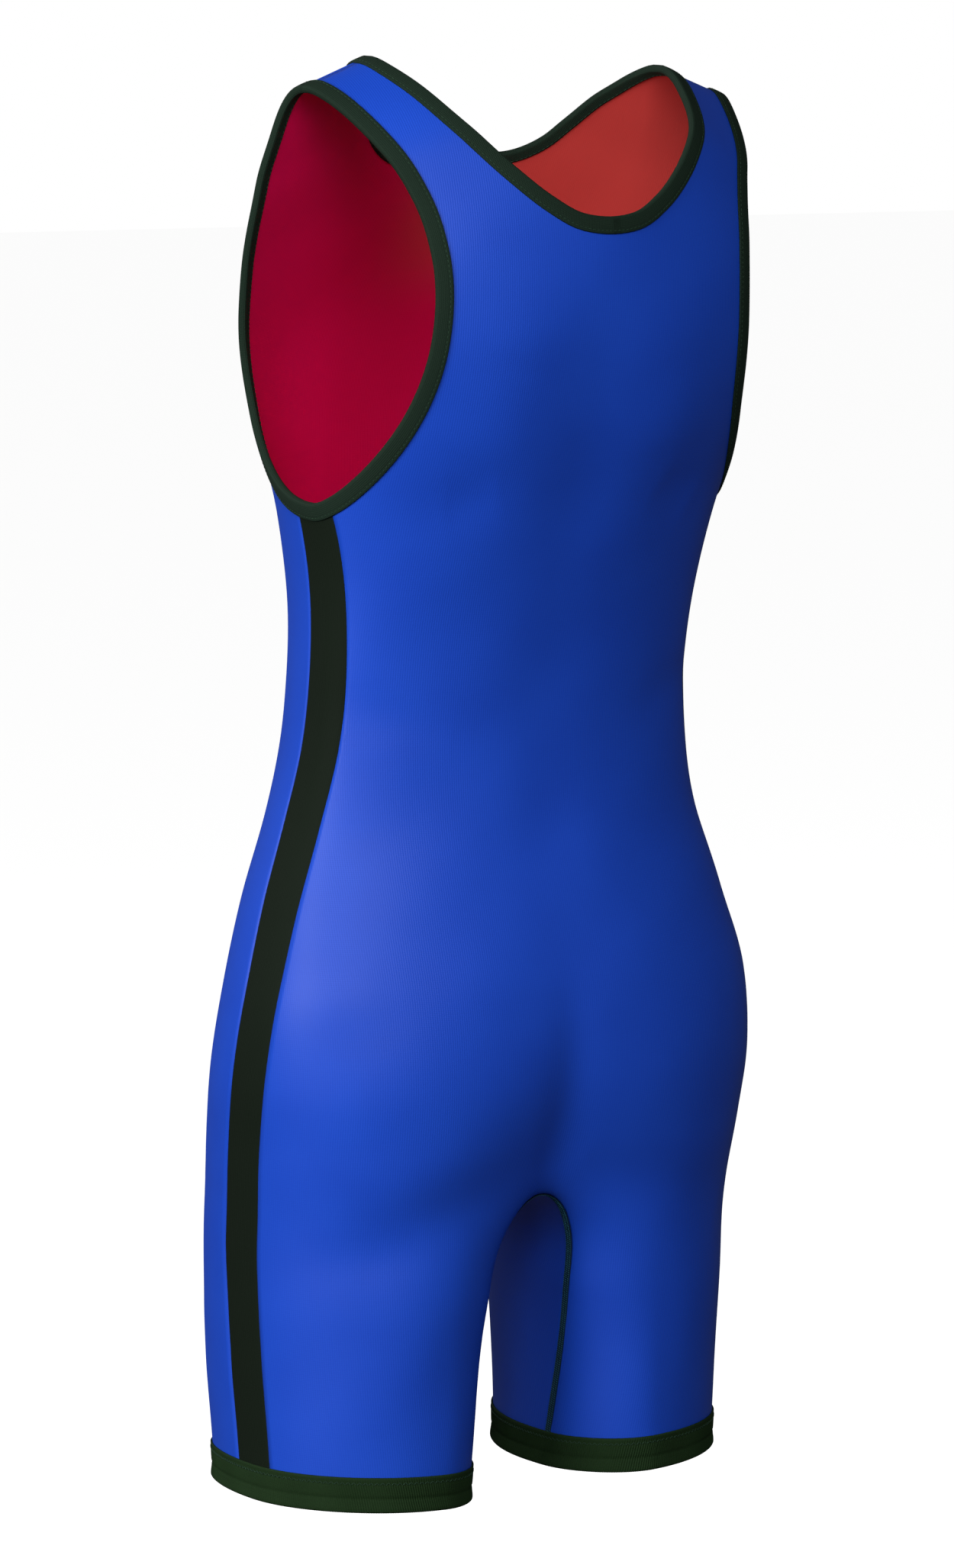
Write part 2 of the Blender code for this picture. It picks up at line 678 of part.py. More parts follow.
def add_pair(name, rings, swap_split, turned, colour, collection):
    """A closed tape on the wearer's left and its mirror image on the right."""
    points, faces = tape_mesh(rings, True, swap_split)
    faces = faces[:, ::-1] if turned else faces
    add_object(name + "_left", points, faces, colour, collection)
    add_object(name + "_right", points * MIRRORED, faces[:, ::-1], colour, collection)


def build_armhole_bindings(shared, stripe, collection):
    """Tape folded over each armhole edge, all the way round."""
    found = []
    for column, row in ((1, 0), (0, 1)):
        front, front_normal = strip_of(shared, "front", 2, column)
        back, back_normal = strip_of(shared, "back", 2, column)
        found.append(np.concatenate([averaged(front[0], back[0]), front[1:],
                                     stripe[0][row, 1:-1], back[:0:-1]]))
        found.append(unit(np.concatenate([averaged(front_normal[0], back_normal[0]),
                                          front_normal[1:], stripe[1][row, 1:-1],
                                          back_normal[:0:-1]])))
    edge, edge_normal, line, line_normal = found
    rings = tape_rings(edge, line, edge_normal, line_normal, BINDING_WIDTH, BINDING_INNER)
    add_pair("armhole_binding", rings, False, False, "binding_green", collection)


def build_leg_bands(shared, stripe, collection):
    """Ribbed band folded over each leg opening."""
    found = []
    front_patches, front_normals = shared["front"]
    back_patches, back_normals = shared["back"]
    for row in (-1, -2):
        front, back = front_patches[0][0][row], back_patches[0][0][row]
        front_normal, back_normal = front_normals[0][row], back_normals[0][row]
        found.append(np.concatenate([averaged(front[0], back[0]), front[1:],
                                     stripe[0][row, 1:-1], back[:0:-1]]))
        found.append(unit(np.concatenate([averaged(front_normal[0], back_normal[0]),
                                          front_normal[1:], stripe[1][row, 1:-1],
                                          back_normal[:0:-1]])))
    edge, edge_normal, line, line_normal = found
    rings = tape_rings(edge, line, edge_normal, line_normal, LEG_BAND_WIDTH, LEG_BAND_INNER)
    add_pair("leg_band", rings, True, True, "band_green", collection)


def main():
    for old in list(bpy.data.objects):
        bpy.data.objects.remove(old, do_unlink=True)
    collection = bpy.data.collections.new("wrestling_singlet")
    bpy.context.scene.collection.children.link(collection)
    shared = build_panels(collection)
    stripe = build_stripes(collection)
    build_neck_binding(shared, collection)
    build_armhole_bindings(shared, stripe, collection)
    build_leg_bands(shared, stripe, collection)


main()
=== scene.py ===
import math

import bpy
import numpy as np
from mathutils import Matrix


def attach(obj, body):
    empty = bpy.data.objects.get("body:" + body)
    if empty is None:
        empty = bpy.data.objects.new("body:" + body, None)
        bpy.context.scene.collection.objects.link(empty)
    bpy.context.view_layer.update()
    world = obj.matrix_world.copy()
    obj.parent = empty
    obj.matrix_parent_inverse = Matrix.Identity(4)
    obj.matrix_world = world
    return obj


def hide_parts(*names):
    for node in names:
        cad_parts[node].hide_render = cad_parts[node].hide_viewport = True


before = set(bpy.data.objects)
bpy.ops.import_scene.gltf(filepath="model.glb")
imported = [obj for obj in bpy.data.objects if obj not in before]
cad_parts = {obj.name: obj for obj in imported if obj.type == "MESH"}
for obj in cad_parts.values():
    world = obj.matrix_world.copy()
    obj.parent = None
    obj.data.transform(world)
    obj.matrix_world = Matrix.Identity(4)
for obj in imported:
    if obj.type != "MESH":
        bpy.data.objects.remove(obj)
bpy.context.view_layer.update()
print("frame loaded:", len(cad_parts), "nodes")

# The figure's form, shared by every piece

figure = {
    "shoulderRound": 0.055,      # radius the straps roll over
    "strapSlope": 0.38,          # straps fall outward
    "strapLine": 0.105,
    "middleRound": 0.016,        # the slopes meet softly at the middle
    "slopeEnd": 0.27,
    "cleft": 0.030,              # half the soft cleft between the legs
    "frontInnerFullness": 0.78,
    "hemDown": 0.850,
    "tiltStart": 0.72,           # the leg openings tilt below this
    "tiltOut": 0.035,
    "tiltBack": -0.02,
    "legCentre": (0.095, -0.050),
    "outerHeight": 0.0023,       # both cloth layers lie above the origin
    "rightStrapDrop": 0.007,     # the right strap has slipped a little lower
    "rightStrapDepth": 0.13,
    "rightStrapFade": (0.02, 0.10),
    "leftLegDrop": 0.0045,       # the left leg is pulled a little lower
    "leftLegTop": 0.62,
    "leftLegFade": 0.05,
    "armholeMiddle": (0.14, 0.0, -0.13),
    "crotchMargin": 0.004,       # side rows pass the crotch this far below it
}
cloth = {
    "thickness": 0.0010,
    "layerGap": 0.0003,
    "seam": 0.00006,             # half the gap left where panels meet
    "stripeHalf": 0.017,
    "tapeOuter": 0.009,
    "tapeInner": 0.006,
    "bandOuter": 0.020,
    "bandInner": 0.018,
}
detail = {
    "neckRows": 40, "centreRows": 96, "armRows": 56, "inseamRows": 44,
    "columns": 52, "line": 700, "armholeRings": 421,
    "bodyCrowding": 1.35,        # rows stand closer towards the crotch
    "legCrowding": 1.8,
}
quarter = math.pi / 2
rollLength = figure["shoulderRound"] * quarter
rollLead = rollLength - figure["shoulderRound"]

# a row for each height: how far down, half width at the side, inner side of the leg,
# front crest across and out, back crest across and out, side line, inner leg line
sectionColumns = ("side", "inner", "frontX", "frontY", "backX", "backY", "sideY", "innerY")
sections = np.array([
    (0.00, 0.204, -0.200, 0.000, -0.040, 0.000, 0.050, -0.012, -0.042),
    (0.03, 0.203, -0.200, 0.000, -0.045, 0.000, 0.068, -0.008, -0.042),
    (0.06, 0.201, -0.200, 0.000, -0.060, 0.000, 0.084, -0.007, -0.042),
    (0.11, 0.196, -0.200, 0.000, -0.092, 0.010, 0.099, -0.006, -0.042),
    (0.16, 0.183, -0.200, 0.010, -0.120, 0.020, 0.100, -0.003, -0.042),
    (0.21, 0.163, -0.200, 0.010, -0.136, 0.020, 0.088, -0.003, -0.042),
    (0.27, 0.142, -0.200, 0.010, -0.140, 0.010, 0.066, -0.003, -0.042),
    (0.34, 0.132, -0.200, 0.000, -0.145, 0.000, 0.045, -0.009, -0.042),
    (0.40, 0.134, -0.200, 0.000, -0.150, 0.000, 0.037, -0.015, -0.032),
    (0.45, 0.144, -0.180, 0.000, -0.155, 0.005, 0.040, -0.020, -0.027),
    (0.50, 0.160, -0.130, 0.010, -0.159, 0.020, 0.051, -0.019, -0.022),
    (0.55, 0.173, -0.085, 0.025, -0.160, 0.040, 0.062, -0.017, -0.012),
    (0.60, 0.177, -0.035, 0.050, -0.159, 0.058, 0.065, -0.024, 0.008),
    (0.64, 0.174, 0.005, 0.072, -0.157, 0.069, 0.059, -0.034, 0.023),
    (0.68, 0.170, 0.0325, 0.090, -0.153, 0.077, 0.051, -0.042, 0.026),
    (0.70, 0.169, 0.0395, 0.097, -0.151, 0.079, 0.048, -0.045, 0.020),
    (0.74, 0.167, 0.0435, 0.107, -0.148, 0.081, 0.046, -0.046, 0.009),
    (0.86, 0.160, 0.0455, 0.117, -0.135, 0.082, 0.038, -0.042, -0.021),
])

# neck edges, shoulder to centre: across, and down the cloth
frontNeck = np.array([
    (0.104, 0.000), (0.100, 0.022), (0.092, 0.042), (0.081, 0.060),
    (0.0705, 0.078), (0.0590, 0.094), (0.043, 0.1065), (0.0225, 0.1130), (0.000, 0.1145),
])
backNeck = np.array([
    (0.104, 0.000), (0.101, 0.026), (0.094, 0.048), (0.085, 0.069),
    (0.073, 0.088), (0.057, 0.109), (0.038, 0.128), (0.018, 0.141), (0.000, 0.1445),
])
# armhole edge from the front of the shoulder round to its back: turn in degrees, run
armhole = np.array([
    (48.0, 0.000), (48.6, 0.030), (49.6, 0.058), (51.2, 0.083), (52.0, 0.110),
    (52.0, 0.140), (52.0, 0.170), (53.6, 0.205), (58.0, 0.238), (66.0, 0.267),
    (77.0, 0.284), (90.0, 0.290), (104.0, 0.285), (118.0, 0.271), (130.0, 0.250),
    (138.3, 0.226), (143.2, 0.202), (145.5, 0.178), (146.0, 0.152), (144.6, 0.122),
    (142.0, 0.097), (139.0, 0.072), (136.0, 0.045), (133.8, 0.024), (132.0, 0.000),
])


def smoothRows(table, at):
    # cubic through the table's rows, each slope the weighted mean of its neighbours'
    key, value = table[:, 0], table[:, 1:]
    step = np.diff(key)
    slope = np.diff(value, axis=0) / step[:, None]
    lean = np.empty_like(value)
    lean[0], lean[-1] = slope[0], slope[-1]
    both = (step[1:] + step[:-1])[:, None]
    lean[1:-1] = (slope[:-1] * step[1:, None] + slope[1:] * step[:-1, None]) / both
    at = np.clip(at, key[0], key[-1])
    row = np.clip(np.searchsorted(key, at, side="right") - 1, 0, len(key) - 2)
    width = step[row][..., None]
    part = ((at - key[row]) / step[row])[..., None]
    return ((1 + 2 * part) * (1 - part) ** 2 * value[row]
            + part * (1 - part) ** 2 * width * lean[row]
            + part ** 2 * (3 - 2 * part) * value[row + 1]
            + part ** 2 * (part - 1) * width * lean[row + 1])


def ease(part):
    # 0 to 1 with flat ends: 3t squared minus 2t cubed
    part = np.clip(part, 0.0, 1.0)
    return part * part * (3 - 2 * part)


def unit(vectors):
    # each vector over its length
    return vectors / np.maximum(np.linalg.norm(vectors, axis=-1, keepdims=True), 1e-12)


def sectionSizes(down):
    # the figure's named sizes at each distance down
    values = smoothRows(sections, down)
    return {name: values[..., i] for i, name in enumerate(sectionColumns)}


def downOf(run):
    # drop and share of depth after a run of cloth: a quarter round, then straight down
    roll = np.clip(run / figure["shoulderRound"], 0.0, quarter)
    rolled = figure["shoulderRound"] * (1 - np.cos(roll))
    return np.where(run < rollLength, rolled, run - rollLead), np.sin(roll)


def bareForm(turn, run):
    # half the figure: sine across and cosine in depth between side, crests and inner leg
    turn, run = np.broadcast_arrays(np.asarray(turn, float), np.asarray(run, float))
    down, fullness = downOf(run)
    size = sectionSizes(down)
    front = turn <= quarter
    angle = np.where(front, turn, 2 * quarter - turn)
    crestX = np.where(front, size["frontX"], size["backX"])
    crestY = np.where(front, size["frontY"], size["backY"])
    outer = angle >= 0
    reach = np.where(outer, size["side"] - crestX, crestX - size["inner"])
    baseY = np.where(outer, size["sideY"], size["innerY"])
    power = np.where(front & ~outer, figure["frontInnerFullness"], 1.0)
    across = crestX + reach * np.sin(angle)
    x = np.sqrt(np.maximum(across ** 2 - figure["cleft"] ** 2, 0.0))
    y = (baseY + (crestY - baseY) * np.maximum(np.cos(angle), 0.0) ** power) * fullness
    strap = ease(1 - down / figure["slopeEnd"])
    leg = ease((down - figure["tiltStart"]) / (figure["hemDown"] - figure["tiltStart"]))
    centreX, centreY = figure["legCentre"]
    tilt = figure["tiltOut"] * (x - centreX) - figure["tiltBack"] * (y - centreY)
    z = figure["outerHeight"] - down + tilt * leg
    rounded = np.sqrt(x ** 2 + figure["middleRound"] ** 2)
    z = z - figure["strapSlope"] * (rounded - figure["strapLine"]) * strap
    return np.stack([x, y, z], axis=-1)


# creases and soft hollows: start, end, half width and height, all in millimetres
creases = {
    "seatFoldLeft": ((18, 44, -650), (138, 40, -694), 25, -4.6),
    "seatFoldLeftOuter": ((92, 48, -690), (156, 14, -700), 18, -1.2),
    "seatFoldRight": ((-18, 44, -650), (-132, 38, -690), 23, -3.8),
    "seatMiddle": ((0, 56, -560), (2, 44, -660), 15, -3.5),
    "spine": ((2, 96, -190), (0, 38, -480), 26, -2.0),
    "bladeLeft": ((52, 96, -178), (72, 88, -236), 30, 2.2),
    "bladeRight": ((-58, 96, -178), (-66, 88, -230), 30, 2.6),
    "underBladeRight": ((-92, 60, -262), (-60, 74, -246), 18, -2.4),
    "underBladeLeft": ((90, 62, -258), (60, 74, -250), 18, -1.8),
    "waistLeft": ((126, 4, -372), (70, 36, -392), 14, -1.0),
    "waistRight": ((-124, 6, -366), (-76, 36, -380), 13, -1.3),
    "hipLeft": ((168, -20, -560), (120, 44, -536), 20, 0.9),
    "thighLeft": ((66, 46, -724), (74, 40, -800), 20, -1.4),
    "thighRight": ((-70, 46, -720), (-84, 40, -796), 18, -1.2),
    "chestLeft": ((118, -84, -214), (60, -128, -236), 18, -1.8),
    "chestRight": ((-116, -86, -210), (-56, -130, -230), 19, -1.6),
    "bellyLeft": ((96, -100, -392), (30, -146, -412), 16, -1.2),
    "bellyRight": ((-100, -96, -404), (-40, -142, -398), 15, -1.0),
    "groinLeft": ((128, -120, -604), (30, -134, -664), 15, -2.4),
    "groinRight": ((-130, -118, -600), (-28, -134, -660), 14, -2.1),
    "hemPullLeft": ((160, -30, -752), (120, -140, -770), 14, -0.9),
    "hemPullRight": ((-158, -36, -744), (-116, -140, -764), 13, -1.0),
}


def relief(points):
    # each crease is a bell round a segment, fading to nothing towards both ends
    height = np.zeros(points.shape[:-1])
    for start, end, width, depth in creases.values():
        start, end = np.array(start) / 1000, np.array(end) / 1000
        along = end - start
        length = np.linalg.norm(along)
        share = ((points - start) @ along) / length ** 2
        nearest = start + np.clip(share, 0.0, 1.0)[..., None] * along
        away = np.linalg.norm(points - nearest, axis=-1) / (width / 1000)
        fade = 0.35 + 0.65 * np.sin(np.clip(share, 0.0, 1.0) * math.pi) ** 0.8
        height += depth / 1000 * fade * np.exp(-away ** 2)
    slow = np.sin(points[..., 0] * 61 + points[..., 2] * 23 + 1.0)
    slow = slow * np.sin(points[..., 2] * 47 - points[..., 1] * 31)
    return height + 0.00035 * slow


def skin(turn, run, height=0.0, side=1.0):
    # outer face of the cloth on one side of the body, moved out along its normal
    step = 0.001
    towards = np.where(turn > quarter, -1.0, 1.0)
    points = bareForm(turn, run)
    byTurn = (bareForm(turn + towards * step, run) - points) * towards[..., None]
    byRun = bareForm(turn, run + 0.0005) - points
    normals = unit(np.cross(byRun, byTurn))
    middle = points[..., 0] < 1e-6
    normals[..., 0] = np.where(middle, 0.0, normals[..., 0])
    normals = unit(normals)
    mirror = np.array([side, 1.0, 1.0])
    points, normals = points * mirror, normals * mirror
    points = points + normals * (relief(points) + height)[..., None]
    if side < 0:
        high = ease(1 + points[..., 2] / figure["rightStrapDepth"])
        start, width = figure["rightStrapFade"]
        outer = ease((-points[..., 0] - start) / width)
        points[..., 2] -= figure["rightStrapDrop"] * high * outer
    else:
        legLength = figure["hemDown"] - figure["leftLegTop"]
        low = ease((-points[..., 2] - figure["leftLegTop"]) / legLength)
        outer = ease(points[..., 0] / figure["leftLegFade"])
        points[..., 2] -= figure["leftLegDrop"] * low * outer
    return points, normals


def turnAt(isFront, x, run):
    # turn at which the front or back is x from the middle plane
    size = sectionSizes(downOf(run)[0])
    crest = size["frontX"] if isFront else size["backX"]
    across = np.sqrt(np.asarray(x, float) ** 2 + figure["cleft"] ** 2)
    inward = (across - crest) / np.maximum(crest - size["inner"], 1e-6)
    outward = (across - crest) / (size["side"] - crest)
    angle = np.arcsin(np.clip(np.where(across < crest, inward, outward), -1.0, 1.0))
    return angle if isFront else 2 * quarter - angle


def lengthAlong(points):
    # running length of a line of points
    steps = np.linalg.norm(np.diff(points, axis=0), axis=1)
    return np.concatenate([[0.0], np.cumsum(steps)])


def between(at, key, rows):
    # every column of rows, read at these places along their key
    return np.stack([np.interp(at, key, rows[:, i]) for i in range(rows.shape[1])], 1)


def atLengths(line, points, lengths):
    # places on a fine line at these lengths along its points
    return between(lengths, lengthAlong(points), line)


def evenly(line, count):
    # the same line of (turn, run) places, evenly spaced on the form
    points = bareForm(line[:, 0], line[:, 1])
    return atLengths(line, points, np.linspace(0, lengthAlong(points)[-1], count))


def fineEdge(rows):
    # smooth line through an edge table, by chord length
    scale = np.array([1.0, 1.0]) if rows[:, 0].max() < 1 else np.array([0.002, 1.0])
    chord = lengthAlong(rows * scale)
    return smoothRows(np.column_stack([chord, rows]), np.linspace(0, chord[-1], detail["line"]))


def movedIn(place, edge, width, hint):
    # an edge moved this far into the cloth, solved in the form's own two directions
    small = 1e-4
    points = place(edge[:, 0], edge[:, 1])
    byFirst = (place(edge[:, 0] + small, edge[:, 1]) - points) / small
    bySecond = (place(edge[:, 0], edge[:, 1] + small) - points) / small
    inward = unit(np.cross(np.cross(byFirst, bySecond), np.gradient(points, axis=0)))
    inward *= np.sign((inward * hint).sum(axis=1))[:, None]
    goal = inward * width
    a, c = (byFirst ** 2).sum(axis=1), (bySecond ** 2).sum(axis=1)
    b = (byFirst * bySecond).sum(axis=1)
    p, q = (byFirst * goal).sum(axis=1), (bySecond * goal).sum(axis=1)
    share = a * c - b * b
    return edge + np.column_stack([(c * p - b * q) / share, (a * q - b * p) / share])


def neckLines(isFront):
    # neck edge and the tape's line below it, shoulder to centre, evenly spaced
    rows = frontNeck if isFront else backNeck
    edge = fineEdge(np.concatenate([rows, rows[-2::-1] * np.array([-1.0, 1.0])]))

    def place(x, run):
        points = bareForm(turnAt(isFront, np.abs(x), run), run)
        return points * np.stack([np.sign(x) + (x == 0), np.ones_like(x), np.ones_like(x)], -1)

    outward = np.zeros((len(edge), 3))
    outward[:, 0] = np.sign(edge[:, 0])
    share = np.abs(edge[:, 0:1]) / edge[0, 0]
    hint = outward * share + np.array([0.0, 0.0, -1.0]) * (1.05 - share)
    inner = movedIn(place, edge, cloth["tapeOuter"], hint)
    found = []
    for line in (edge, inner):
        half = line[line[:, 0] > 0]
        endRun = np.interp(0.0, line[::-1, 0], line[::-1, 1])
        half = np.concatenate([[[half[0, 0], 0.0]], half[half[:, 1] > 1e-6], [[0.0, endRun]]])
        turn = turnAt(isFront, half[:, 0], half[:, 1])
        found.append(evenly(np.column_stack([turn, half[:, 1]]), detail["neckRows"] + 1))
    return found


def sideDistance(turn, run, steps=24):
    # length round the form from the side line, plus behind it and minus before it
    shares = np.linspace(0.0, 1.0, steps)
    turns = quarter + (turn[..., None] - quarter) * shares
    points = bareForm(turns, run[..., None])
    length = np.linalg.norm(np.diff(points, axis=-2), axis=-1).sum(axis=-1)
    return np.sign(turn - quarter) * length


def sideTurn(run, distance):
    # turn at this distance from the side line
    turns = np.linspace(math.radians(62), math.radians(118), 57)
    run = np.asarray(run, float)
    measured = sideDistance(np.broadcast_to(turns, run.shape + turns.shape),
                            np.broadcast_to(run[..., None], run.shape + turns.shape), 8)
    return np.array([np.interp(distance, one, turns) for one in measured])


def armholeLines():
    # armhole edge and the tape's line, from the front of the shoulder to its back
    edge = fineEdge(armhole)
    edge[:, 0] = np.radians(edge[:, 0])
    points = bareForm(edge[:, 0], edge[:, 1])
    away = points - np.array(figure["armholeMiddle"])
    away[[0, -1]] = (-1.0, 0.0, 0.0)
    inner = movedIn(bareForm, edge, cloth["tapeOuter"], away)
    inner = inner[inner[:, 1] > 1e-6]
    caps = []
    for end, sign in ((0, -1.0), (-1, 1.0)):
        across = bareForm(edge[end, 0] + 1e-4, 0.0) - bareForm(edge[end, 0], 0.0)
        reach = cloth["tapeOuter"] / (np.linalg.norm(across) / 1e-4)
        caps.append([[edge[end, 0] + sign * reach, 0.0]])
    return edge, np.concatenate([caps[0], inner, caps[1]])


def armholeCross(line, distance):
    # where the armhole line passes this distance from the side line
    part = line[np.abs(line[:, 0] - quarter) < math.radians(40)]
    measured = sideDistance(part[:, 0], part[:, 1])
    return between([distance], measured, part)[0]


crotchRow = detail["neckRows"] + detail["centreRows"]
armholeEdge, armholeInner = armholeLines()
seamReach = cloth["stripeHalf"] + cloth["seam"]
fineRuns = np.linspace(0.60, 0.80, 4001)
crotchRun = float(np.interp(figure["cleft"], sectionSizes(downOf(fineRuns)[0])["inner"], fineRuns))
lastBodyRun = crotchRun + figure["crotchMargin"]
hemRun = figure["hemDown"] + rollLead
bandRun = hemRun - cloth["bandOuter"]


def armholeHalf(line, isFront):
    # one panel's share of the armhole line, shoulder to stripe
    end = armholeCross(line, -seamReach if isFront else seamReach)
    if isFront:
        half = line[(line[:, 0] < end[0]) & (line[:, 0] < quarter)]
    else:
        half = line[(line[:, 0] > end[0]) & (line[:, 0] > quarter)][::-1]
    return evenly(np.concatenate([half, [end]]), detail["armRows"] + 1)


def centreLine(isFront, startRun):
    # rows down the middle plane from the neck tape to the crotch, closer below
    part = np.linspace(0.0, 1.0, detail["line"])
    run = crotchRun - (crotchRun - startRun) * (1 - part) ** 2.2
    fine = np.column_stack([turnAt(isFront, np.zeros_like(run), run), run])
    fine[-1, 0] = -quarter if isFront else 3 * quarter
    points = bareForm(fine[:, 0], fine[:, 1])
    step = np.linspace(0.0, 1.0, detail["centreRows"] + 1)
    lengths = lengthAlong(points)[-1] * (1 - (1 - step) ** detail["bodyCrowding"])
    return atLengths(fine, points, lengths)[1:]


def legRuns(start):
    # runs down the leg from its start to the band's line, with the hem's row last
    step = np.linspace(0.0, 1.0, detail["inseamRows"])[1:]
    return np.append(start + (bandRun - start) * step ** detail["legCrowding"], hemRun)


def panelPlaces(isFront):
    # half a panel as rows of (turn, run) from the middle to the side, with both its edges
    neckEdge, neckLine = neckLines(isFront)
    armEdge, armLine = armholeHalf(armholeEdge, isFront), armholeHalf(armholeInner, isFront)
    inner = legRuns(crotchRun)
    inner = np.column_stack([np.full(len(inner), -quarter if isFront else 3 * quarter), inner])
    left = np.concatenate([neckLine, centreLine(isFront, neckLine[-1, 1]), inner])
    step = np.linspace(0.0, 1.0, crotchRow - detail["armRows"] + 1)[1:]
    above = (lastBodyRun - armLine[-1, 1]) * (1 - step) ** detail["bodyCrowding"]
    runs = np.concatenate([lastBodyRun - above, legRuns(lastBodyRun)])
    side = np.column_stack([sideTurn(runs, -seamReach if isFront else seamReach), runs])
    right = np.concatenate([armLine, side])
    row = np.arange(len(left))
    early = 1 + 0.8 * ease((1.6 * detail["armRows"] - row) / (0.55 * detail["armRows"]))
    late = 1 + 1.2 * ease((row - 0.62 * crotchRow) / (0.3 * crotchRow))
    late = np.where(row <= crotchRow, late, 1.0)
    part = np.linspace(0.0, 1.0, 400) ** 1.5
    rows = []
    for start, end, fast, slow in zip(left, right, early, late):
        run = start[1] + (end[1] - start[1]) * (1 - (1 - part) ** fast) ** slow
        middle = turnAt(isFront, np.zeros_like(run), run)
        offsets = start[0] - middle[0], end[0] - middle[-1]
        turn = middle + offsets[0] + (offsets[1] - offsets[0]) * part
        fine = np.column_stack([turn, run])
        points = bareForm(fine[:, 0], fine[:, 1])
        total = lengthAlong(points)[-1]
        rows.append(atLengths(fine, points, total * np.linspace(0, 1, detail["columns"]) ** 1.04))
    grid = np.array(rows)
    neckStrip = neckEdge[:, None] + (neckLine - neckEdge)[:, None] * np.linspace(0, 1, 5)[:, None]
    armStrip = armLine[:, None] + (armEdge - armLine)[:, None] * np.linspace(0, 1, 5)[:, None]
    return grid, neckStrip, armStrip


def sidePlaces(distances):
    # cloth at these distances from the side line, armhole edge to hem
    tops = [[armholeCross(line, d) for d in distances] for line in (armholeEdge, armholeInner)]
    startRun = tops[1][len(distances) // 2][1]
    runs = np.concatenate([np.linspace(startRun, lastBodyRun, 74)[1:], legRuns(lastBodyRun)])
    turns = np.column_stack([sideTurn(runs, d) for d in distances])
    lower = np.stack([turns, np.broadcast_to(runs[:, None], turns.shape)], axis=-1)
    return np.concatenate([np.array([tops[0]]), np.array([tops[1]]), lower])


def clothMap(turn, run):
    # distances along and across the grain: the centre line's own length less the side's
    held = np.minimum(run, crotchRun - figure["crotchMargin"])
    isFront = np.mean(turn) <= quarter
    total = np.abs(sideDistance(turnAt(isFront, np.zeros_like(held), held), held))
    across = total - np.abs(sideDistance(turn, run))
    return np.stack([across, run], axis=-1)


# Mesh makers

def gridFaces(rows, columns, first=0, flip=False):
    # quads of a grid of points
    row, column = np.meshgrid(np.arange(rows - 1), np.arange(columns - 1), indexing="ij")
    a = (first + row * columns + column).ravel()
    faces = np.column_stack([a, a + columns, a + columns + 1, a + 1])
    return faces[:, ::-1] if flip else faces


def ringFaces(count, size, closed, flip=False):
    # quads of a tube: size points round each of count rings
    ring, spot = np.meshgrid(np.arange(count if closed else count - 1), np.arange(size),
                             indexing="ij")
    here, there = ring * size, ((ring + 1) % count) * size
    following = (spot + 1) % size
    faces = np.stack([here + spot, there + spot, there + following, here + following], -1)
    faces = faces.reshape(-1, 4)
    return faces[:, ::-1] if flip else faces


def welded(points, faces, maps):
    # points of several grids that coincide become one
    keys = np.round(points / 0.00001).astype(np.int64)
    _, first, same = np.unique(keys, axis=0, return_index=True, return_inverse=True)
    return points[first], same.ravel()[faces], maps[first]


def linked(name, data):
    # a new object in the scene
    made = bpy.data.objects.new(name, data)
    bpy.context.scene.collection.objects.link(made)
    return made


def addPiece(name, points, faces, maps, material, stands, slot):
    # a mesh object in place, with its cloth map as UV, riding on the frame;
    # stands is the CAD node that it replaces, or nothing
    mesh = bpy.data.meshes.new(name)
    mesh.vertices.add(len(points))
    mesh.vertices.foreach_set("co", np.ascontiguousarray(points, float).ravel())
    mesh.loops.add(faces.size)
    mesh.loops.foreach_set("vertex_index", faces.ravel().astype(np.int32))
    mesh.polygons.add(len(faces))
    starts = np.arange(len(faces), dtype=np.int32) * faces.shape[1]
    mesh.polygons.foreach_set("loop_start", starts)
    mesh.update(calc_edges=True)
    mesh.validate()
    uv = mesh.uv_layers.new(name="clothMap")
    loops = np.empty(len(mesh.loops), dtype=np.int32)
    mesh.loops.foreach_get("vertex_index", loops)
    uv.data.foreach_set("uv", maps[loops].ravel().astype(float))
    mesh.polygons.foreach_set("use_smooth", np.full(len(mesh.polygons), True))
    mesh.materials.append(material)
    made = linked(name, mesh)
    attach(made, "root")
    if stands:
        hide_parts(stands)
    return made


def addThickness(piece):
    # the cloth's wall grows inward from its outer face
    wall = piece.modifiers.new("cloth", "SOLIDIFY")
    wall.thickness = cloth["thickness"]
    wall.offset = -1.0
    wall.use_even_offset = False
    wall.use_rim = True


# Materials

def linear(colour):
    # sRGB hex to linear
    parts = [int(colour[i:i + 2], 16) / 255 for i in (1, 3, 5)]
    return tuple(c / 12.92 if c <= 0.04045 else ((c + 0.055) / 1.055) ** 2.4
                 for c in parts) + (1.0,)


def addNode(tree, kind, inputs=None, **settings):
    # a node with its settings; an input is a value or another node's output
    node = tree.nodes.new(kind)
    for key, value in settings.items():
        setattr(node, key, value)
    for key, value in (inputs or {}).items():
        if isinstance(value, bpy.types.NodeSocket):
            tree.links.new(value, node.inputs[key])
        else:
            node.inputs[key].default_value = value
    return node


def waveScale(spacing):
    # a wave texture turns 20 radians for each unit times its scale
    return 2 * math.pi / (20 * spacing)


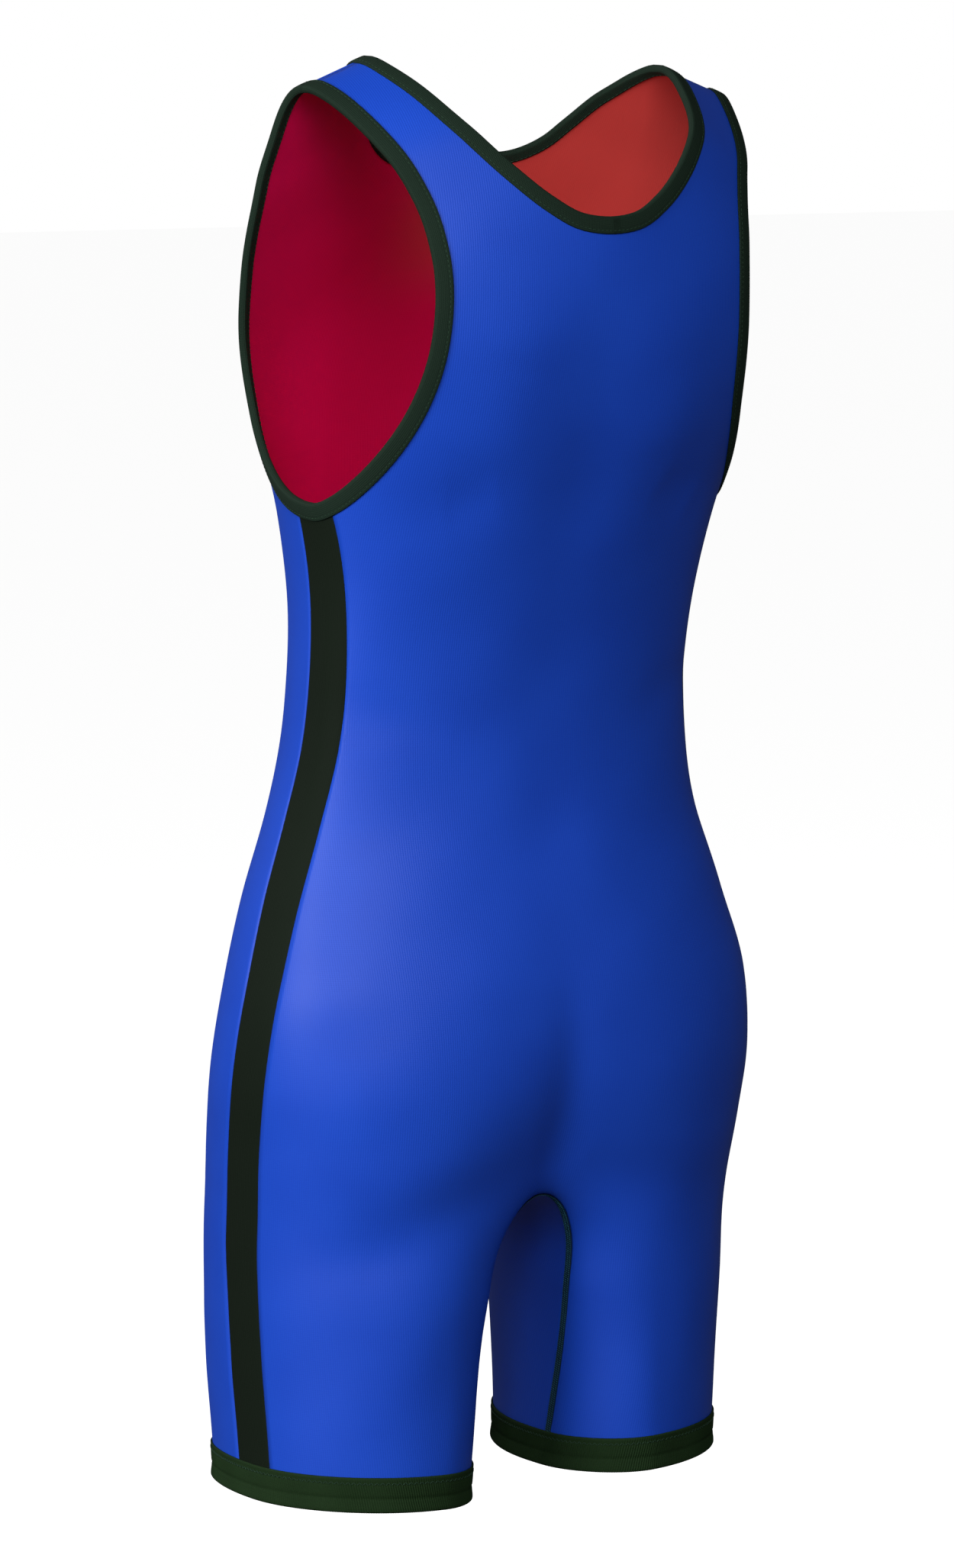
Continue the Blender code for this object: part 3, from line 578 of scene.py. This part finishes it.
def clothMaterial(name, look):
    # knit: ribs down the cloth, courses across it, and a faint unevenness of dye
    made = bpy.data.materials.new(name)
    made.use_nodes = True
    tree = made.node_tree
    shader = tree.nodes["Principled BSDF"]
    cloth2d = addNode(tree, "ShaderNodeUVMap", uv_map="clothMap").outputs["UV"]
    solid = addNode(tree, "ShaderNodeTexCoord").outputs["Object"]
    ribs = addNode(tree, "ShaderNodeTexWave", {"Vector": cloth2d, "Scale": waveScale(look["rib"]),
                   "Distortion": look["ribWander"], "Detail": 1.0, "Detail Scale": 1.0},
                   wave_type="BANDS", bands_direction="X", wave_profile="SIN")
    courses = addNode(tree, "ShaderNodeTexWave", {"Vector": cloth2d,
                      "Scale": waveScale(look["course"]), "Distortion": look["ribWander"],
                      "Detail": 1.0, "Detail Scale": 1.0},
                      wave_type="BANDS", bands_direction="Y", wave_profile="SIN")
    fuzz = addNode(tree, "ShaderNodeTexNoise", {"Vector": solid, "Scale": 1 / look["fuzz"],
                   "Detail": 3.0, "Roughness": 0.6})
    patches = addNode(tree, "ShaderNodeTexNoise", {"Vector": solid, "Scale": 1 / look["patch"],
                      "Detail": 2.0, "Roughness": 0.5})
    knit = addNode(tree, "ShaderNodeMath", {0: courses.outputs["Fac"], 1: look["courseShare"],
                   2: ribs.outputs["Fac"]}, operation="MULTIPLY_ADD")
    raised = addNode(tree, "ShaderNodeMath", {0: fuzz.outputs["Fac"], 1: look["fuzzShare"],
                     2: knit.outputs[0]}, operation="MULTIPLY_ADD")
    tone = addNode(tree, "ShaderNodeMath", {0: patches.outputs["Fac"], 1: look["patchShare"],
                   2: 0.5 - 0.5 * look["patchShare"]}, operation="MULTIPLY_ADD")
    tone = addNode(tree, "ShaderNodeMath", {0: raised.outputs[0], 1: look["knitShare"],
                   2: tone.outputs[0]}, operation="MULTIPLY_ADD")
    ramp = addNode(tree, "ShaderNodeValToRGB", {"Fac": tone.outputs[0]})
    ramp.color_ramp.elements[0].position = 0.35
    ramp.color_ramp.elements[0].color = linear(look["deep"])
    ramp.color_ramp.elements[1].position = 0.75
    ramp.color_ramp.elements[1].color = linear(look["light"])
    colour = ramp.outputs["Color"]
    if "paintedWarmLight" in look:      # painted warm light: the lining is tinted warmer along the front of the neck, not a change of dye
        place = addNode(tree, "ShaderNodeSeparateXYZ", {"Vector": solid})
        shares = [addNode(tree, "ShaderNodeMapRange", {"Value": place.outputs[axis],
                          "From Min": start, "From Max": end},
                          interpolation_type="SMOOTHSTEP").outputs["Result"]
                  for axis, (start, end) in look["paintedWarmLightZone"].items()]
        share = addNode(tree, "ShaderNodeMath", {0: shares[0], 1: shares[1]}, operation="MULTIPLY")
        mixed = addNode(tree, "ShaderNodeMix", {"Factor": share.outputs[0], 6: colour,
                        7: linear(look["paintedWarmLight"])}, data_type="RGBA")
        colour = mixed.outputs[2]
    tree.links.new(colour, shader.inputs["Base Color"])
    bump = addNode(tree, "ShaderNodeBump", {"Strength": look["bump"],
                   "Distance": look["bumpDepth"], "Height": raised.outputs[0]})
    tree.links.new(bump.outputs["Normal"], shader.inputs["Normal"])
    shader.inputs["Metallic"].default_value = 0.0
    shader.inputs["Roughness"].default_value = look["rough"]
    shader.inputs["Specular IOR Level"].default_value = look["specular"]
    shader.inputs["Sheen Weight"].default_value = look["sheen"]
    shader.inputs["Sheen Roughness"].default_value = 0.5
    shader.inputs["Sheen Tint"].default_value = linear(look["light"])
    return made


# nylon and elastane jersey: fine wales that show as soft stripes down the cloth.
# Real wales are about 0.7 mm apart; they are drawn at 1.4 mm so that they show.
jersey = {
    "rib": 0.0014, "course": 0.0011, "ribWander": 0.6, "courseShare": 0.35,
    "fuzz": 0.0011, "fuzzShare": 0.8, "patch": 0.06, "patchShare": 0.25, "knitShare": 0.10,
    "bump": 0.35, "bumpDepth": 0.00012, "rough": 0.52, "specular": 0.32, "sheen": 0.06,
}
blueKnit = clothMaterial("royalNylonElastaneJersey",
                         dict(jersey, deep="#0D3CB2", light="#184CCA"))
# the warm tint on the front of the neck lining is painted warm light; the crimson cloth is one dye
# throughout
redKnit = clothMaterial("crimsonNylonElastaneJersey",
                        dict(jersey, deep="#E0044E", light="#F00C5E", rib=0.0013, specular=0.12,
                             sheen=0.0, paintedWarmLight="#D04440",
                             paintedWarmLightZone={"X": (0.05, -0.03), "Z": (-0.16, -0.09)}))
stripeKnit = clothMaterial("darkGreenNylonElastaneJersey",
                           dict(jersey, deep="#0A110A", light="#121B12", rough=0.75,
                                knitShare=0.25, specular=0.10, sheen=0.0))
tapeWeave = clothMaterial("foldedElasticTape",      # plush fold-over elastic, matt
                          dict(jersey, deep="#0C1810", light="#1A2A20", rib=0.0011,
                               course=0.0011, courseShare=1.0, rough=0.8, knitShare=0.35,
                               bump=0.6, bumpDepth=0.00018, specular=0.12, sheen=0.02))
bandWeave = clothMaterial("ribbedLegElastic",       # ribbed gripper elastic, matt
                          dict(jersey, deep="#0E1A0C", light="#1C3018", rib=0.0015,
                               course=0.0009, courseShare=0.5, rough=0.8, knitShare=0.3,
                               bump=0.5, bumpDepth=0.00018, specular=0.10, sheen=0.02))
seamWeave = clothMaterial("flatlockThreadCover",    # looper thread laid over the seam
                          dict(jersey, deep="#081426", light="#10283C", rib=0.0012,
                               course=0.0009, courseShare=0.8, rough=0.7, knitShare=0.4,
                               bump=0.6, bumpDepth=0.0002, specular=0.15))
greenThread = clothMaterial("darkGreenPolyesterThread",
                            dict(jersey, deep="#16281C", light="#2A4232", rough=0.6,
                                 knitShare=0.2, bump=0.1, specular=0.15))
tealThread = clothMaterial("tealPolyesterThread",
                           dict(jersey, deep="#154456", light="#2C6C7C", rough=0.5,
                                knitShare=0.2, bump=0.1, specular=0.2))
print("materials made")


# Panels, linings and stripes

def panelMesh(isFront, height, seam, sideDistances=None):
    # both halves of a panel, its grids welded, with the strips under the tapes
    places = list(panelPlaces(isFront))
    if sideDistances is not None:
        places.append(sidePlaces(sideDistances))
    points, faces, maps = [], [], []
    first = 0
    centre = slice(detail["neckRows"], crotchRow + 1)
    for half in (1.0, -1.0):
        for i, grid in enumerate(places):
            made, _ = skin(grid[..., 0], grid[..., 1], height, half)
            shift = -seam if isFront else seam
            if i < 3:
                made[0, :, 1] += shift
            if i == 0:
                made[crotchRow:, 0, 1] += shift
                made[centre, 0, 0] = 0.0
                # both halves share one centre line, so no crack opens down the middle
                middle = made[centre, 0].copy() if half > 0 else middle
                made[centre, 0] = middle
            if i == 1:
                made[-1, :, 0] = 0.0
            found = clothMap(grid[..., 0], grid[..., 1])
            found[..., 0] *= half
            flip = (half < 0) != (not isFront)
            faces.append(gridFaces(*grid.shape[:2], first, flip))
            points.append(made.reshape(-1, 3))
            maps.append(found.reshape(-1, 2))
            first += grid.shape[0] * grid.shape[1]
    return welded(np.concatenate(points), np.concatenate(faces), np.concatenate(maps))


liningHeight = -(cloth["thickness"] + cloth["layerGap"])
for isFront in (True, False):
    name = "front" if isFront else "back"
    outer = addPiece(name + "OuterJersey", *panelMesh(isFront, 0.0, cloth["seam"]), blueKnit,
                     name + "_panel", "outer_knit")
    addThickness(outer)
    under = np.linspace(seamReach, 0.00005, 8)
    inner = addPiece(name + "InnerJersey",
                     *panelMesh(isFront, liningHeight, 0.0002, -under if isFront else under),
                     redKnit, name + "_lining", "inner_knit")
    addThickness(inner)
print("panels and linings made")

# the stripe sinks a little along both its seams
stripe = {"ditch": 0.00035, "ditchWidth": 0.0011}
halfStripe = cloth["stripeHalf"] - cloth["seam"]
nearSeam = np.array([0.88, 0.935, 0.965, 0.985, 1])
acrossStripe = halfStripe * np.concatenate([-nearSeam[::-1], np.linspace(-0.78, 0.78, 9), nearSeam])
stripePlaces = sidePlaces(acrossStripe)
fromSeam = halfStripe - np.abs(acrossStripe)
sunk = -stripe["ditch"] * np.exp(-(fromSeam / stripe["ditchWidth"]) ** 2)
for half, word in ((1.0, "left"), (-1.0, "right")):
    points, _ = skin(stripePlaces[..., 0], stripePlaces[..., 1], sunk[None, :], half)
    maps = np.stack([np.broadcast_to(acrossStripe * half, stripePlaces.shape[:2]),
                     stripePlaces[..., 1]], -1)
    made = addPiece("sideStripe_" + word, points.reshape(-1, 3),
                    gridFaces(*points.shape[:2], 0, half < 0), maps.reshape(-1, 2),
                    stripeKnit, "side_stripe_" + word, "stripe_knit")
    addThickness(made)
print("side stripes made")


# Stitches

stitchShape = {"rings": 4, "sides": 6}


def stitchMesh(places, ways, normals, length, width, rise, lift):
    # each stitch is a spindle along its way: elliptic ends, its middle arched off the cloth
    ringCount, sides = stitchShape["rings"], stitchShape["sides"]
    along = np.concatenate([[-1.0], np.cos(np.linspace(math.pi * 0.85, math.pi * 0.15, ringCount)),
                            [1.0]])
    along = np.concatenate([[along[0]], np.repeat(along[1:-1], sides), [along[-1]]])
    girth = np.sqrt(np.maximum(1 - along ** 2, 0.0))
    turn = np.tile(np.arange(sides) * 2 * math.pi / sides, ringCount)
    turn = np.concatenate([[0.0], turn, [0.0]])
    across = np.cross(normals, ways)
    out = np.cos(turn) * girth * width / 2
    up = np.sin(turn) * girth * width / 2 + rise * (1 - along ** 2) + lift
    points = (places[:, None] + ways[:, None] * (along * length / 2)[None, :, None]
              + across[:, None] * out[None, :, None] + normals[:, None] * up[None, :, None])
    count = len(along)
    ring, spot = np.meshgrid(np.arange(ringCount - 1), np.arange(sides), indexing="ij")
    a = (1 + ring * sides + spot).ravel()
    b = (1 + ring * sides + (spot + 1) % sides).ravel()
    first = 1 + np.arange(sides)
    last = 1 + (ringCount - 1) * sides + np.arange(sides)
    faces = np.concatenate([
        np.column_stack([a, b, b + sides]), np.column_stack([a, b + sides, a + sides]),
        np.column_stack([np.zeros(sides, int), np.roll(first, -1), first]),
        np.column_stack([np.full(sides, count - 1), last, np.roll(last, -1)])])
    allFaces = (np.arange(len(places))[:, None, None] * count + faces[None]).reshape(-1, 3)
    maps = np.stack(np.broadcast_arrays(along[None, :] * length,
                                        np.arange(len(places))[:, None] * 0.003), -1)
    return points.reshape(-1, 3), allFaces, maps.reshape(-1, 2)


def alongPath(points, normals, pitch, closed):
    # places every pitch along a line, with the way it runs and the cloth's normal
    if closed:
        points = np.concatenate([points, points[:1]])
        normals = np.concatenate([normals, normals[:1]])
    measured = lengthAlong(points)
    count = int(measured[-1] / pitch)
    spots = (np.arange(count) + 0.5) * measured[-1] / count
    places = between(spots, measured, points)
    ahead = between(spots + 0.0004, measured, points)
    up = unit(between(spots, measured, normals))
    way = ahead - places
    way = unit(way - up * (way * up).sum(axis=1)[:, None])
    return places, way, up


def leaning(ways, normals, angle):
    # ways turned in the cloth by an angle, one for each stitch
    across = np.cross(normals, ways)
    return ways * np.cos(angle)[:, None] + across * np.sin(angle)[:, None]


def joined(parts):
    # several point, face and map sets as one
    points, faces, maps = [], [], []
    first = 0
    for p, f, m in parts:
        points.append(p)
        faces.append(f + first)
        maps.append(m)
        first += len(p)
    return np.concatenate(points), np.concatenate(faces), np.concatenate(maps)


# Folded tapes round the neck and armholes

tape = {
    "stack": 0.0023,        # both cloth layers inside the fold
    "cover": 0.0010,        # tape thickness
    "ease": 0.00022,        # air between tape and cloth
    "crown": 0.00022,       # the outer face is slightly domed
    "smallRound": 0.00045,
    "stitchIn": 0.0019,     # the sewing runs this far inside the tape's edge
    "stitchSink": 0.00016,  # and pulls the tape down along its line
    "stitchLength": 0.0022, "stitchPitch": 0.0029, "stitchWidth": 0.00046,
    "stitchRise": 0.00012, "stitchLift": 0.00005, "stitchLean": 0.10,
}
tapeTop = tape["ease"] + tape["cover"]
tapeBase = -(tape["stack"] + tape["ease"] + tape["cover"])


def tapeProfile(outerWidth, innerWidth):
    # closed section: distance in from the edge, and height; outer face, fold, inner face
    top, base = tapeTop, tapeBase
    middle = (top + base) / 2
    foldHalf = (top - base) / 2
    small = tape["smallRound"]
    outer = []
    for share in np.linspace(0.0, 1.0, 15):
        inFromEdge = (outerWidth - small) * (1 - share)
        crown = tape["crown"] * math.sin(share * math.pi) ** 0.7
        sewn = (inFromEdge - (outerWidth - tape["stitchIn"])) / 0.0008
        outer.append((inFromEdge, top + crown - tape["stitchSink"] * math.exp(-sewn ** 2)))
    fold = [(-0.62 * foldHalf * math.sin(a), middle + foldHalf * math.cos(a))
            for a in np.linspace(0, math.pi, 11)[1:-1]]
    back = [(s * (innerWidth - small), base) for s in np.linspace(0.0, 1.0, 7)]
    backEdge = [(innerWidth, base + small), (innerWidth, base + tape["cover"])]
    inside = [(s * innerWidth, base + tape["cover"]) for s in (0.6, 0.2)]
    wall = [(-0.25 * foldHalf * 0.62, base + tape["cover"] + 0.0002),
            (-0.25 * foldHalf * 0.62, tape["ease"] - 0.0002)]
    face = [(s * outerWidth, tape["ease"]) for s in (0.1, 0.5, 0.9)]
    start = [(outerWidth, tape["ease"] - 0.00015), (outerWidth, top - small)]
    return np.array(start + outer + fold + back + backEdge + inside + wall + face)


def tapeRings(edge, line, half, profile, outerWidth):
    # the section carried along an edge; each point leans on edge and line normals
    edgePoints, edgeNormals = skin(edge[:, 0], edge[:, 1], 0.0, half)
    linePoints, lineNormals = skin(line[:, 0], line[:, 1], 0.0, half)
    past = unit(edgePoints - linePoints)
    share = profile[:, 0] / outerWidth
    inside = np.clip(share, 0.0, 1.0)[None, :, None]
    spot = edgePoints[:, None] + (linePoints - edgePoints)[:, None] * inside
    spot = spot - past[:, None] * np.minimum(profile[:, 0], 0.0)[None, :, None]
    normals = unit(edgeNormals[:, None] * (1 - inside) + lineNormals[:, None] * inside)
    return spot + normals * profile[None, :, 1, None], normals


def ringMaps(rings):
    # length along the tape and round its section
    along = lengthAlong(rings.mean(axis=1))
    around = lengthAlong(np.concatenate([rings[0], rings[0][:1]]))[:-1]
    return np.stack(np.broadcast_arrays(around[None, :], along[:, None]), -1).reshape(-1, 2)


def tapeLoop(edge, line, halves):
    # tape section, its sewing lines outside and inside, carried round a whole opening
    profile = tapeProfile(cloth["tapeOuter"], cloth["tapeInner"])
    sewing = np.array([
        (cloth["tapeOuter"] - tape["stitchIn"], tapeTop - tape["stitchSink"] * 0.6),
        (cloth["tapeInner"] - tape["stitchIn"] * 0.7, tapeBase),
    ])
    found = []
    for section in (profile, sewing):
        parts = [tapeRings(edge, line, half, section, cloth["tapeOuter"]) for half in halves]
        if len(halves) == 2:        # the right half runs back to where the left began
            parts = [(a, b) for a, b in (parts[0], tuple(x[-2:0:-1] for x in parts[1]))]
            points = np.concatenate([p for p, _ in parts])
            normals = np.concatenate([n for _, n in parts])
            middle = [0, len(edge) - 1]
            points[middle, :, 0] = 0.0
            normals[middle, :, 0] = 0.0
        else:
            points, normals = parts[0]
            points[0] = (points[0] + points[-1]) / 2
            points, normals = points[:-1], normals[:-1]
        found.append((points, unit(normals)))
    rings = found[0][0]
    lines, normals = found[1]
    stitches = []
    for i, facing in ((0, 1.0), (1, -1.0)):
        places, ways, up = alongPath(lines[:, i], normals[:, i] * facing, tape["stitchPitch"], True)
        ways = leaning(ways, up, np.full(len(ways), tape["stitchLean"]))
        stitches.append(stitchMesh(places, ways, up, tape["stitchLength"], tape["stitchWidth"],
                                   tape["stitchRise"], tape["stitchLift"]))
    return rings, joined(stitches)


def addTape(name, rings, stitches, flip, stands):
    # the tape and its sewing
    made = addPiece(name, rings.reshape(-1, 3), ringFaces(len(rings), rings.shape[1], True, flip),
                    ringMaps(rings), tapeWeave, stands, "binding_tape")
    sewn = addPiece(name + "_stitches", *stitches, greenThread, None, "binding_tape")


neckParts = {True: neckLines(True), False: neckLines(False)}
neckEdge, neckInner = (np.concatenate([neckParts[False][i][::-1][:-1], neckParts[True][i]])
                       for i in (0, 1))
rings, stitches = tapeLoop(neckEdge, neckInner, (1.0, -1.0))
addTape("neckTape", rings, stitches, False, "neck_binding")
for half, word in ((1.0, "left"), (-1.0, "right")):
    edges = [evenly(line, detail["armholeRings"]) for line in (armholeEdge, armholeInner)]
    rings, stitches = tapeLoop(*edges, (half,))
    addTape("armholeTape_" + word, rings, stitches, half > 0, "armhole_binding_" + word)
print("tapes made")


# Leg bands

band = {
    "ribs": 330,            # ribs round each leg, about 1.4 mm apart
    "ribDepth": 0.00020,
    "samples": 5,           # points across one rib
    "grooveAt": 0.0128,     # a sewn groove this far below the band's top
    "grooveDepth": 0.00055,
    "roll": 0.0016,         # the lower fold rolls out this far
    "stitchAt": 0.0036, "stitchPitch": 0.0017, "stitchLength": 0.0023, "stitchLean": 0.75,
    "stitchWidth": 0.00045, "stitchRise": 0.00015, "stitchLift": 0.00012,
}


def bandProfile():
    # closed section of the folded band: run back from the hem, height, and rib share
    top, base = tapeTop, tapeBase
    outerWidth, innerWidth = cloth["bandOuter"], cloth["bandInner"]
    rows = [(outerWidth, tape["ease"], 0.0), (outerWidth, top - 0.0004, 0.0)]
    for share in np.linspace(0.0, 1.0, 21):
        inFromHem = (outerWidth - 0.0004) * (1 - share)
        belowTop = outerWidth - inFromHem
        dip = band["grooveDepth"] * math.exp(-((belowTop - band["grooveAt"]) / 0.0009) ** 2)
        stitchDip = 0.00025 * math.exp(-((belowTop - band["stitchAt"]) / 0.0012) ** 2)
        swell = band["roll"] * 0.5 * ease((belowTop - 0.014) / 0.006)
        rib = float(ease((belowTop - 0.001) / 0.002))
        rows.append((inFromHem, top + swell - dip - stitchDip, rib))
    middle, foldHalf = (top + base) / 2, (top - base) / 2
    for a in np.linspace(0, math.pi, 9)[1:-1]:
        rows.append((-0.75 * foldHalf * math.sin(a),
                     middle + foldHalf * math.cos(a) + band["roll"] * 0.5 * (1 + math.cos(a)) / 2,
                     0.6))
    rows += [(s * (innerWidth - 0.0004), base, 0.3) for s in (0.0, 0.35, 0.7, 1.0)]
    rows += [(innerWidth, base + tape["cover"], 0.0), (0.0, base + tape["cover"], 0.0),
             (-0.0003, -tape["stack"] / 2, 0.0), (0.0, tape["ease"], 0.0),
             (0.6 * outerWidth, tape["ease"], 0.0)]
    return np.array(rows)


def bandMesh(half):
    # the section carried round the leg opening, its outer points raised in ribs
    profile = bandProfile()
    count = band["ribs"] * band["samples"]
    turns = np.linspace(-quarter, 3 * quarter, 2401)
    hem = evenly(np.column_stack([turns, np.full_like(turns, hemRun)]), count + 1)[:-1]
    top = evenly(np.column_stack([turns, np.full_like(turns, bandRun)]), count + 1)[:-1]
    share = np.clip(profile[:, 0] / cloth["bandOuter"], 0.0, 1.0)
    places = hem[:, None] + (top - hem)[:, None] * share[None, :, None]
    phase = np.cos(np.arange(count) * 2 * math.pi / band["samples"])[:, None]
    height = profile[None, :, 1] + phase * profile[None, :, 2] * band["ribDepth"]
    points, normals = skin(places[..., 0], places[..., 1], height, half)
    hemPoints, _ = skin(hem[:, 0], hem[:, 1], 0.0, half)
    topPoints, _ = skin(top[:, 0], top[:, 1], 0.0, half)
    past = unit(hemPoints - topPoints)
    points = points - past[:, None] * np.minimum(profile[:, 0], 0.0)[None, :, None]
    measured = lengthAlong(hemPoints)
    around = np.concatenate([[0.0],
                             np.cumsum(np.linalg.norm(np.diff(profile[:, :2], axis=0), axis=1))])
    maps = np.stack(np.broadcast_arrays(measured[:, None], around[None, :]), -1)
    share = 1 - band["stitchAt"] / cloth["bandOuter"]
    line = hem + (top - hem) * share
    places, ways, up = alongPath(*skin(line[:, 0], line[:, 1], tapeTop - 0.0001, half),
                                 band["stitchPitch"], True)
    lean = band["stitchLean"] * np.where(np.arange(len(ways)) % 2, 1.0, -1.0)
    stitches = stitchMesh(places, leaning(ways, up, lean), up, band["stitchLength"],
                          band["stitchWidth"], band["stitchRise"], band["stitchLift"])
    faces = ringFaces(count, len(profile), True, half < 0)
    return (points.reshape(-1, 3), faces, maps.reshape(-1, 2)), stitches


for half, word in ((1.0, "left"), (-1.0, "right")):
    shell, stitches = bandMesh(half)
    made = addPiece("legBand_" + word, *shell, bandWeave, "leg_band_" + word, "rib_band")
    sewn = addPiece("legBand_" + word + "_stitches", *stitches, greenThread, None, "rib_band")
print("leg bands made")


# Covered seam from hem to hem along the inner legs

inseam = {
    "halfWidth": 0.0030, "rise": 0.00055, "lift": 0.00010,
    "step": 0.0006,
    "bend": 0.060,          # radius of the cloth across the seam
    "rungPitch": 0.0014, "rungLength": 0.0013, "rungWidth": 0.00040,
    "rungRise": 0.00016, "rungLift": 0.00004,
}


def inseamPath():
    # left leg's inner line up from the band, over the crotch and down the right leg
    step = np.linspace(1, 0, 400) ** detail["legCrowding"]
    runs = crotchRun + (bandRun - 0.0003 - crotchRun) * step
    turns = np.full_like(runs, -quarter)
    front, frontNormals = skin(turns, runs)
    back, backNormals = skin(turns + 4 * quarter, runs)
    points, normals = (front + back) / 2, unit(frontNormals + backNormals)
    points[-1, 0], normals[-1, 0] = 0.0, 0.0
    mirror = np.array([-1.0, 1.0, 1.0])
    points = np.concatenate([points, points[-2::-1] * mirror])
    normals = unit(np.concatenate([normals, normals[-2::-1] * mirror]))
    measured = lengthAlong(points)
    spots = np.linspace(0, measured[-1], int(measured[-1] / inseam["step"]) + 1)
    points = between(spots, measured, points)
    normals = unit(between(spots, measured, normals))
    ahead = unit(np.gradient(points, axis=0))
    normals = unit(normals - ahead * (normals * ahead).sum(axis=1)[:, None])
    return points, ahead, normals


def inseamMesh():
    # low domed strip: height falls as a circle's chord towards both edges
    points, ahead, normals = inseamPath()
    across = np.cross(ahead, normals)
    upper = np.linspace(-1.0, 1.0, 13)
    dome = inseam["lift"] + inseam["rise"] * np.sqrt(np.maximum(1 - upper ** 4, 0.0))
    lower = upper[-2:0:-1]
    spot = np.concatenate([upper, lower]) * inseam["halfWidth"]
    height = np.concatenate([dome, np.full(len(lower), inseam["lift"] - 0.00008)])
    height = height - spot ** 2 / (2 * inseam["bend"])
    section = (points[:, None] + across[:, None] * spot[None, :, None]
               + normals[:, None] * height[None, :, None])
    size = section.shape[1]
    along = lengthAlong(points)
    around = np.concatenate([upper * inseam["halfWidth"], lower * inseam["halfWidth"]])
    maps = np.stack(np.broadcast_arrays(around[None, :], along[:, None]), -1)
    faces = ringFaces(len(points), size, False, True)
    ends = []
    for first, order in ((0, 1), ((len(points) - 1) * size, -1)):
        cap = [(first + i, first + i + 1, first + size - i - 1, first + (size - i) % size)
               for i in range(1, len(upper) - 2)]
        cap = np.array(cap)
        ends.append(cap if order > 0 else cap[:, ::-1])
    faces = np.concatenate([faces] + ends)
    rungs = []
    for share, lean in ((-0.66, 1.45), (0.0, 1.2), (0.66, 1.7)):
        line = (points + across * share * inseam["halfWidth"]
                + normals * (inseam["lift"] + inseam["rise"] * (1 - share ** 4) ** 0.5
                             - (share * inseam["halfWidth"]) ** 2 / (2 * inseam["bend"])))
        places, ways, up = alongPath(line, normals, inseam["rungPitch"], False)
        rungs.append(stitchMesh(places, leaning(ways, up, np.full(len(ways), lean)), up,
                                inseam["rungLength"], inseam["rungWidth"],
                                inseam["rungRise"], inseam["rungLift"]))
    return (section.reshape(-1, 3), faces, maps.reshape(-1, 2)), joined(rungs)


shell, rungs = inseamMesh()
made = addPiece("inseamCover", *shell, seamWeave, None, "binding_tape")
sewn = addPiece("inseamCover_stitches", *rungs, tealThread, None, "binding_tape")
print("covered seam made")


# Stage, light and camera

stage = {
    "floorDown": -1.35, "floorSize": 60.0, "pale": "#FBFBFB",
    "aim": (0.0, -0.0417, -0.4277), "azimuth": 146.0, "elevation": 7.0,
    "distance": 3.8, "lens": 96.69, "sensor": 24.0,
    "shift": (0.0012, -0.0054),
    "surround": 0.07,
}
# each lamp: azimuth and elevation in degrees seen from the suit, distance, side and watts
lamps = {
    "keyLeft": (102.0, 18.0, 3.0, 1.5, 78.0),
    "fillBehindCamera": (150.0, 26.0, 3.4, 1.6, 56.0),
    "frontFill": (20.0, 34.0, 3.4, 1.8, 20.0),
}


def wayTo(azimuth, elevation):
    # direction from the suit: azimuth 0 in front of it, 90 at its left
    a, e = math.radians(azimuth), math.radians(elevation)
    return np.array([math.sin(a) * math.cos(e), -math.cos(a) * math.cos(e), math.sin(e)])


def aimed(name, data, azimuth, elevation, distance):
    # a lamp or camera set out from the suit's middle and turned to face it
    made = linked(name, data)
    made.location = np.array(stage["aim"]) + wayTo(azimuth, elevation) * distance
    made.rotation_euler = (math.radians(90 - elevation), 0.0, math.radians(azimuth))
    return made


def addLamp(name, azimuth, elevation, distance, side, watts):
    # square soft lamp that faces the suit's middle
    lamp = bpy.data.lights.new(name, "AREA")
    lamp.size = side
    lamp.energy = watts
    aimed(name, lamp, azimuth, elevation, distance)


def addFloor():
    # wide pale floor, evenly white, which lights nothing itself
    half = stage["floorSize"] / 2
    down = stage["floorDown"]
    mesh = bpy.data.meshes.new("paleFloor")
    mesh.from_pydata([(-half, -half, down), (half, -half, down), (half, half, down),
                      (-half, half, down)], [], [(0, 1, 2, 3)])
    floor = linked("paleFloor", mesh)
    floor.visible_diffuse = False
    floor.visible_glossy = False
    paper = bpy.data.materials.new("palePaper")
    paper.use_nodes = True
    shader = paper.node_tree.nodes["Principled BSDF"]
    shader.inputs["Base Color"].default_value = linear(stage["pale"])
    shader.inputs["Roughness"].default_value = 0.9
    shader.inputs["Specular IOR Level"].default_value = 0.1
    shader.inputs["Emission Color"].default_value = (1.0, 1.0, 1.0, 1.0)
    shader.inputs["Emission Strength"].default_value = 0.9
    mesh.materials.append(paper)


def addSurround():
    # white behind everything the camera sees, dim as light on the suit
    world = bpy.data.worlds.new("paleStudio")
    world.use_nodes = True
    tree = world.node_tree
    seen = addNode(tree, "ShaderNodeLightPath").outputs["Is Camera Ray"]
    strength = addNode(tree, "ShaderNodeMapRange", {"Value": seen, "To Min": stage["surround"],
                       "To Max": 1.0}).outputs["Result"]
    background = tree.nodes["Background"]
    background.inputs["Color"].default_value = (1.0, 1.0, 1.0, 1.0)
    tree.links.new(strength, background.inputs["Strength"])
    bpy.context.scene.world = world


def addCamera():
    # long lens at the photograph's angle
    camera = bpy.data.cameras.new("photoCamera")
    camera.sensor_fit = "VERTICAL"
    camera.sensor_height = stage["sensor"]
    camera.lens = stage["lens"]
    camera.shift_x, camera.shift_y = stage["shift"]
    bpy.context.scene.camera = aimed("photoCamera", camera, stage["azimuth"],
                                     stage["elevation"], stage["distance"])


addFloor()
addSurround()
for name, values in lamps.items():
    addLamp(name, *values)
addCamera()
bpy.context.scene.view_settings.view_transform = "Standard"
print("stage, light and camera set")
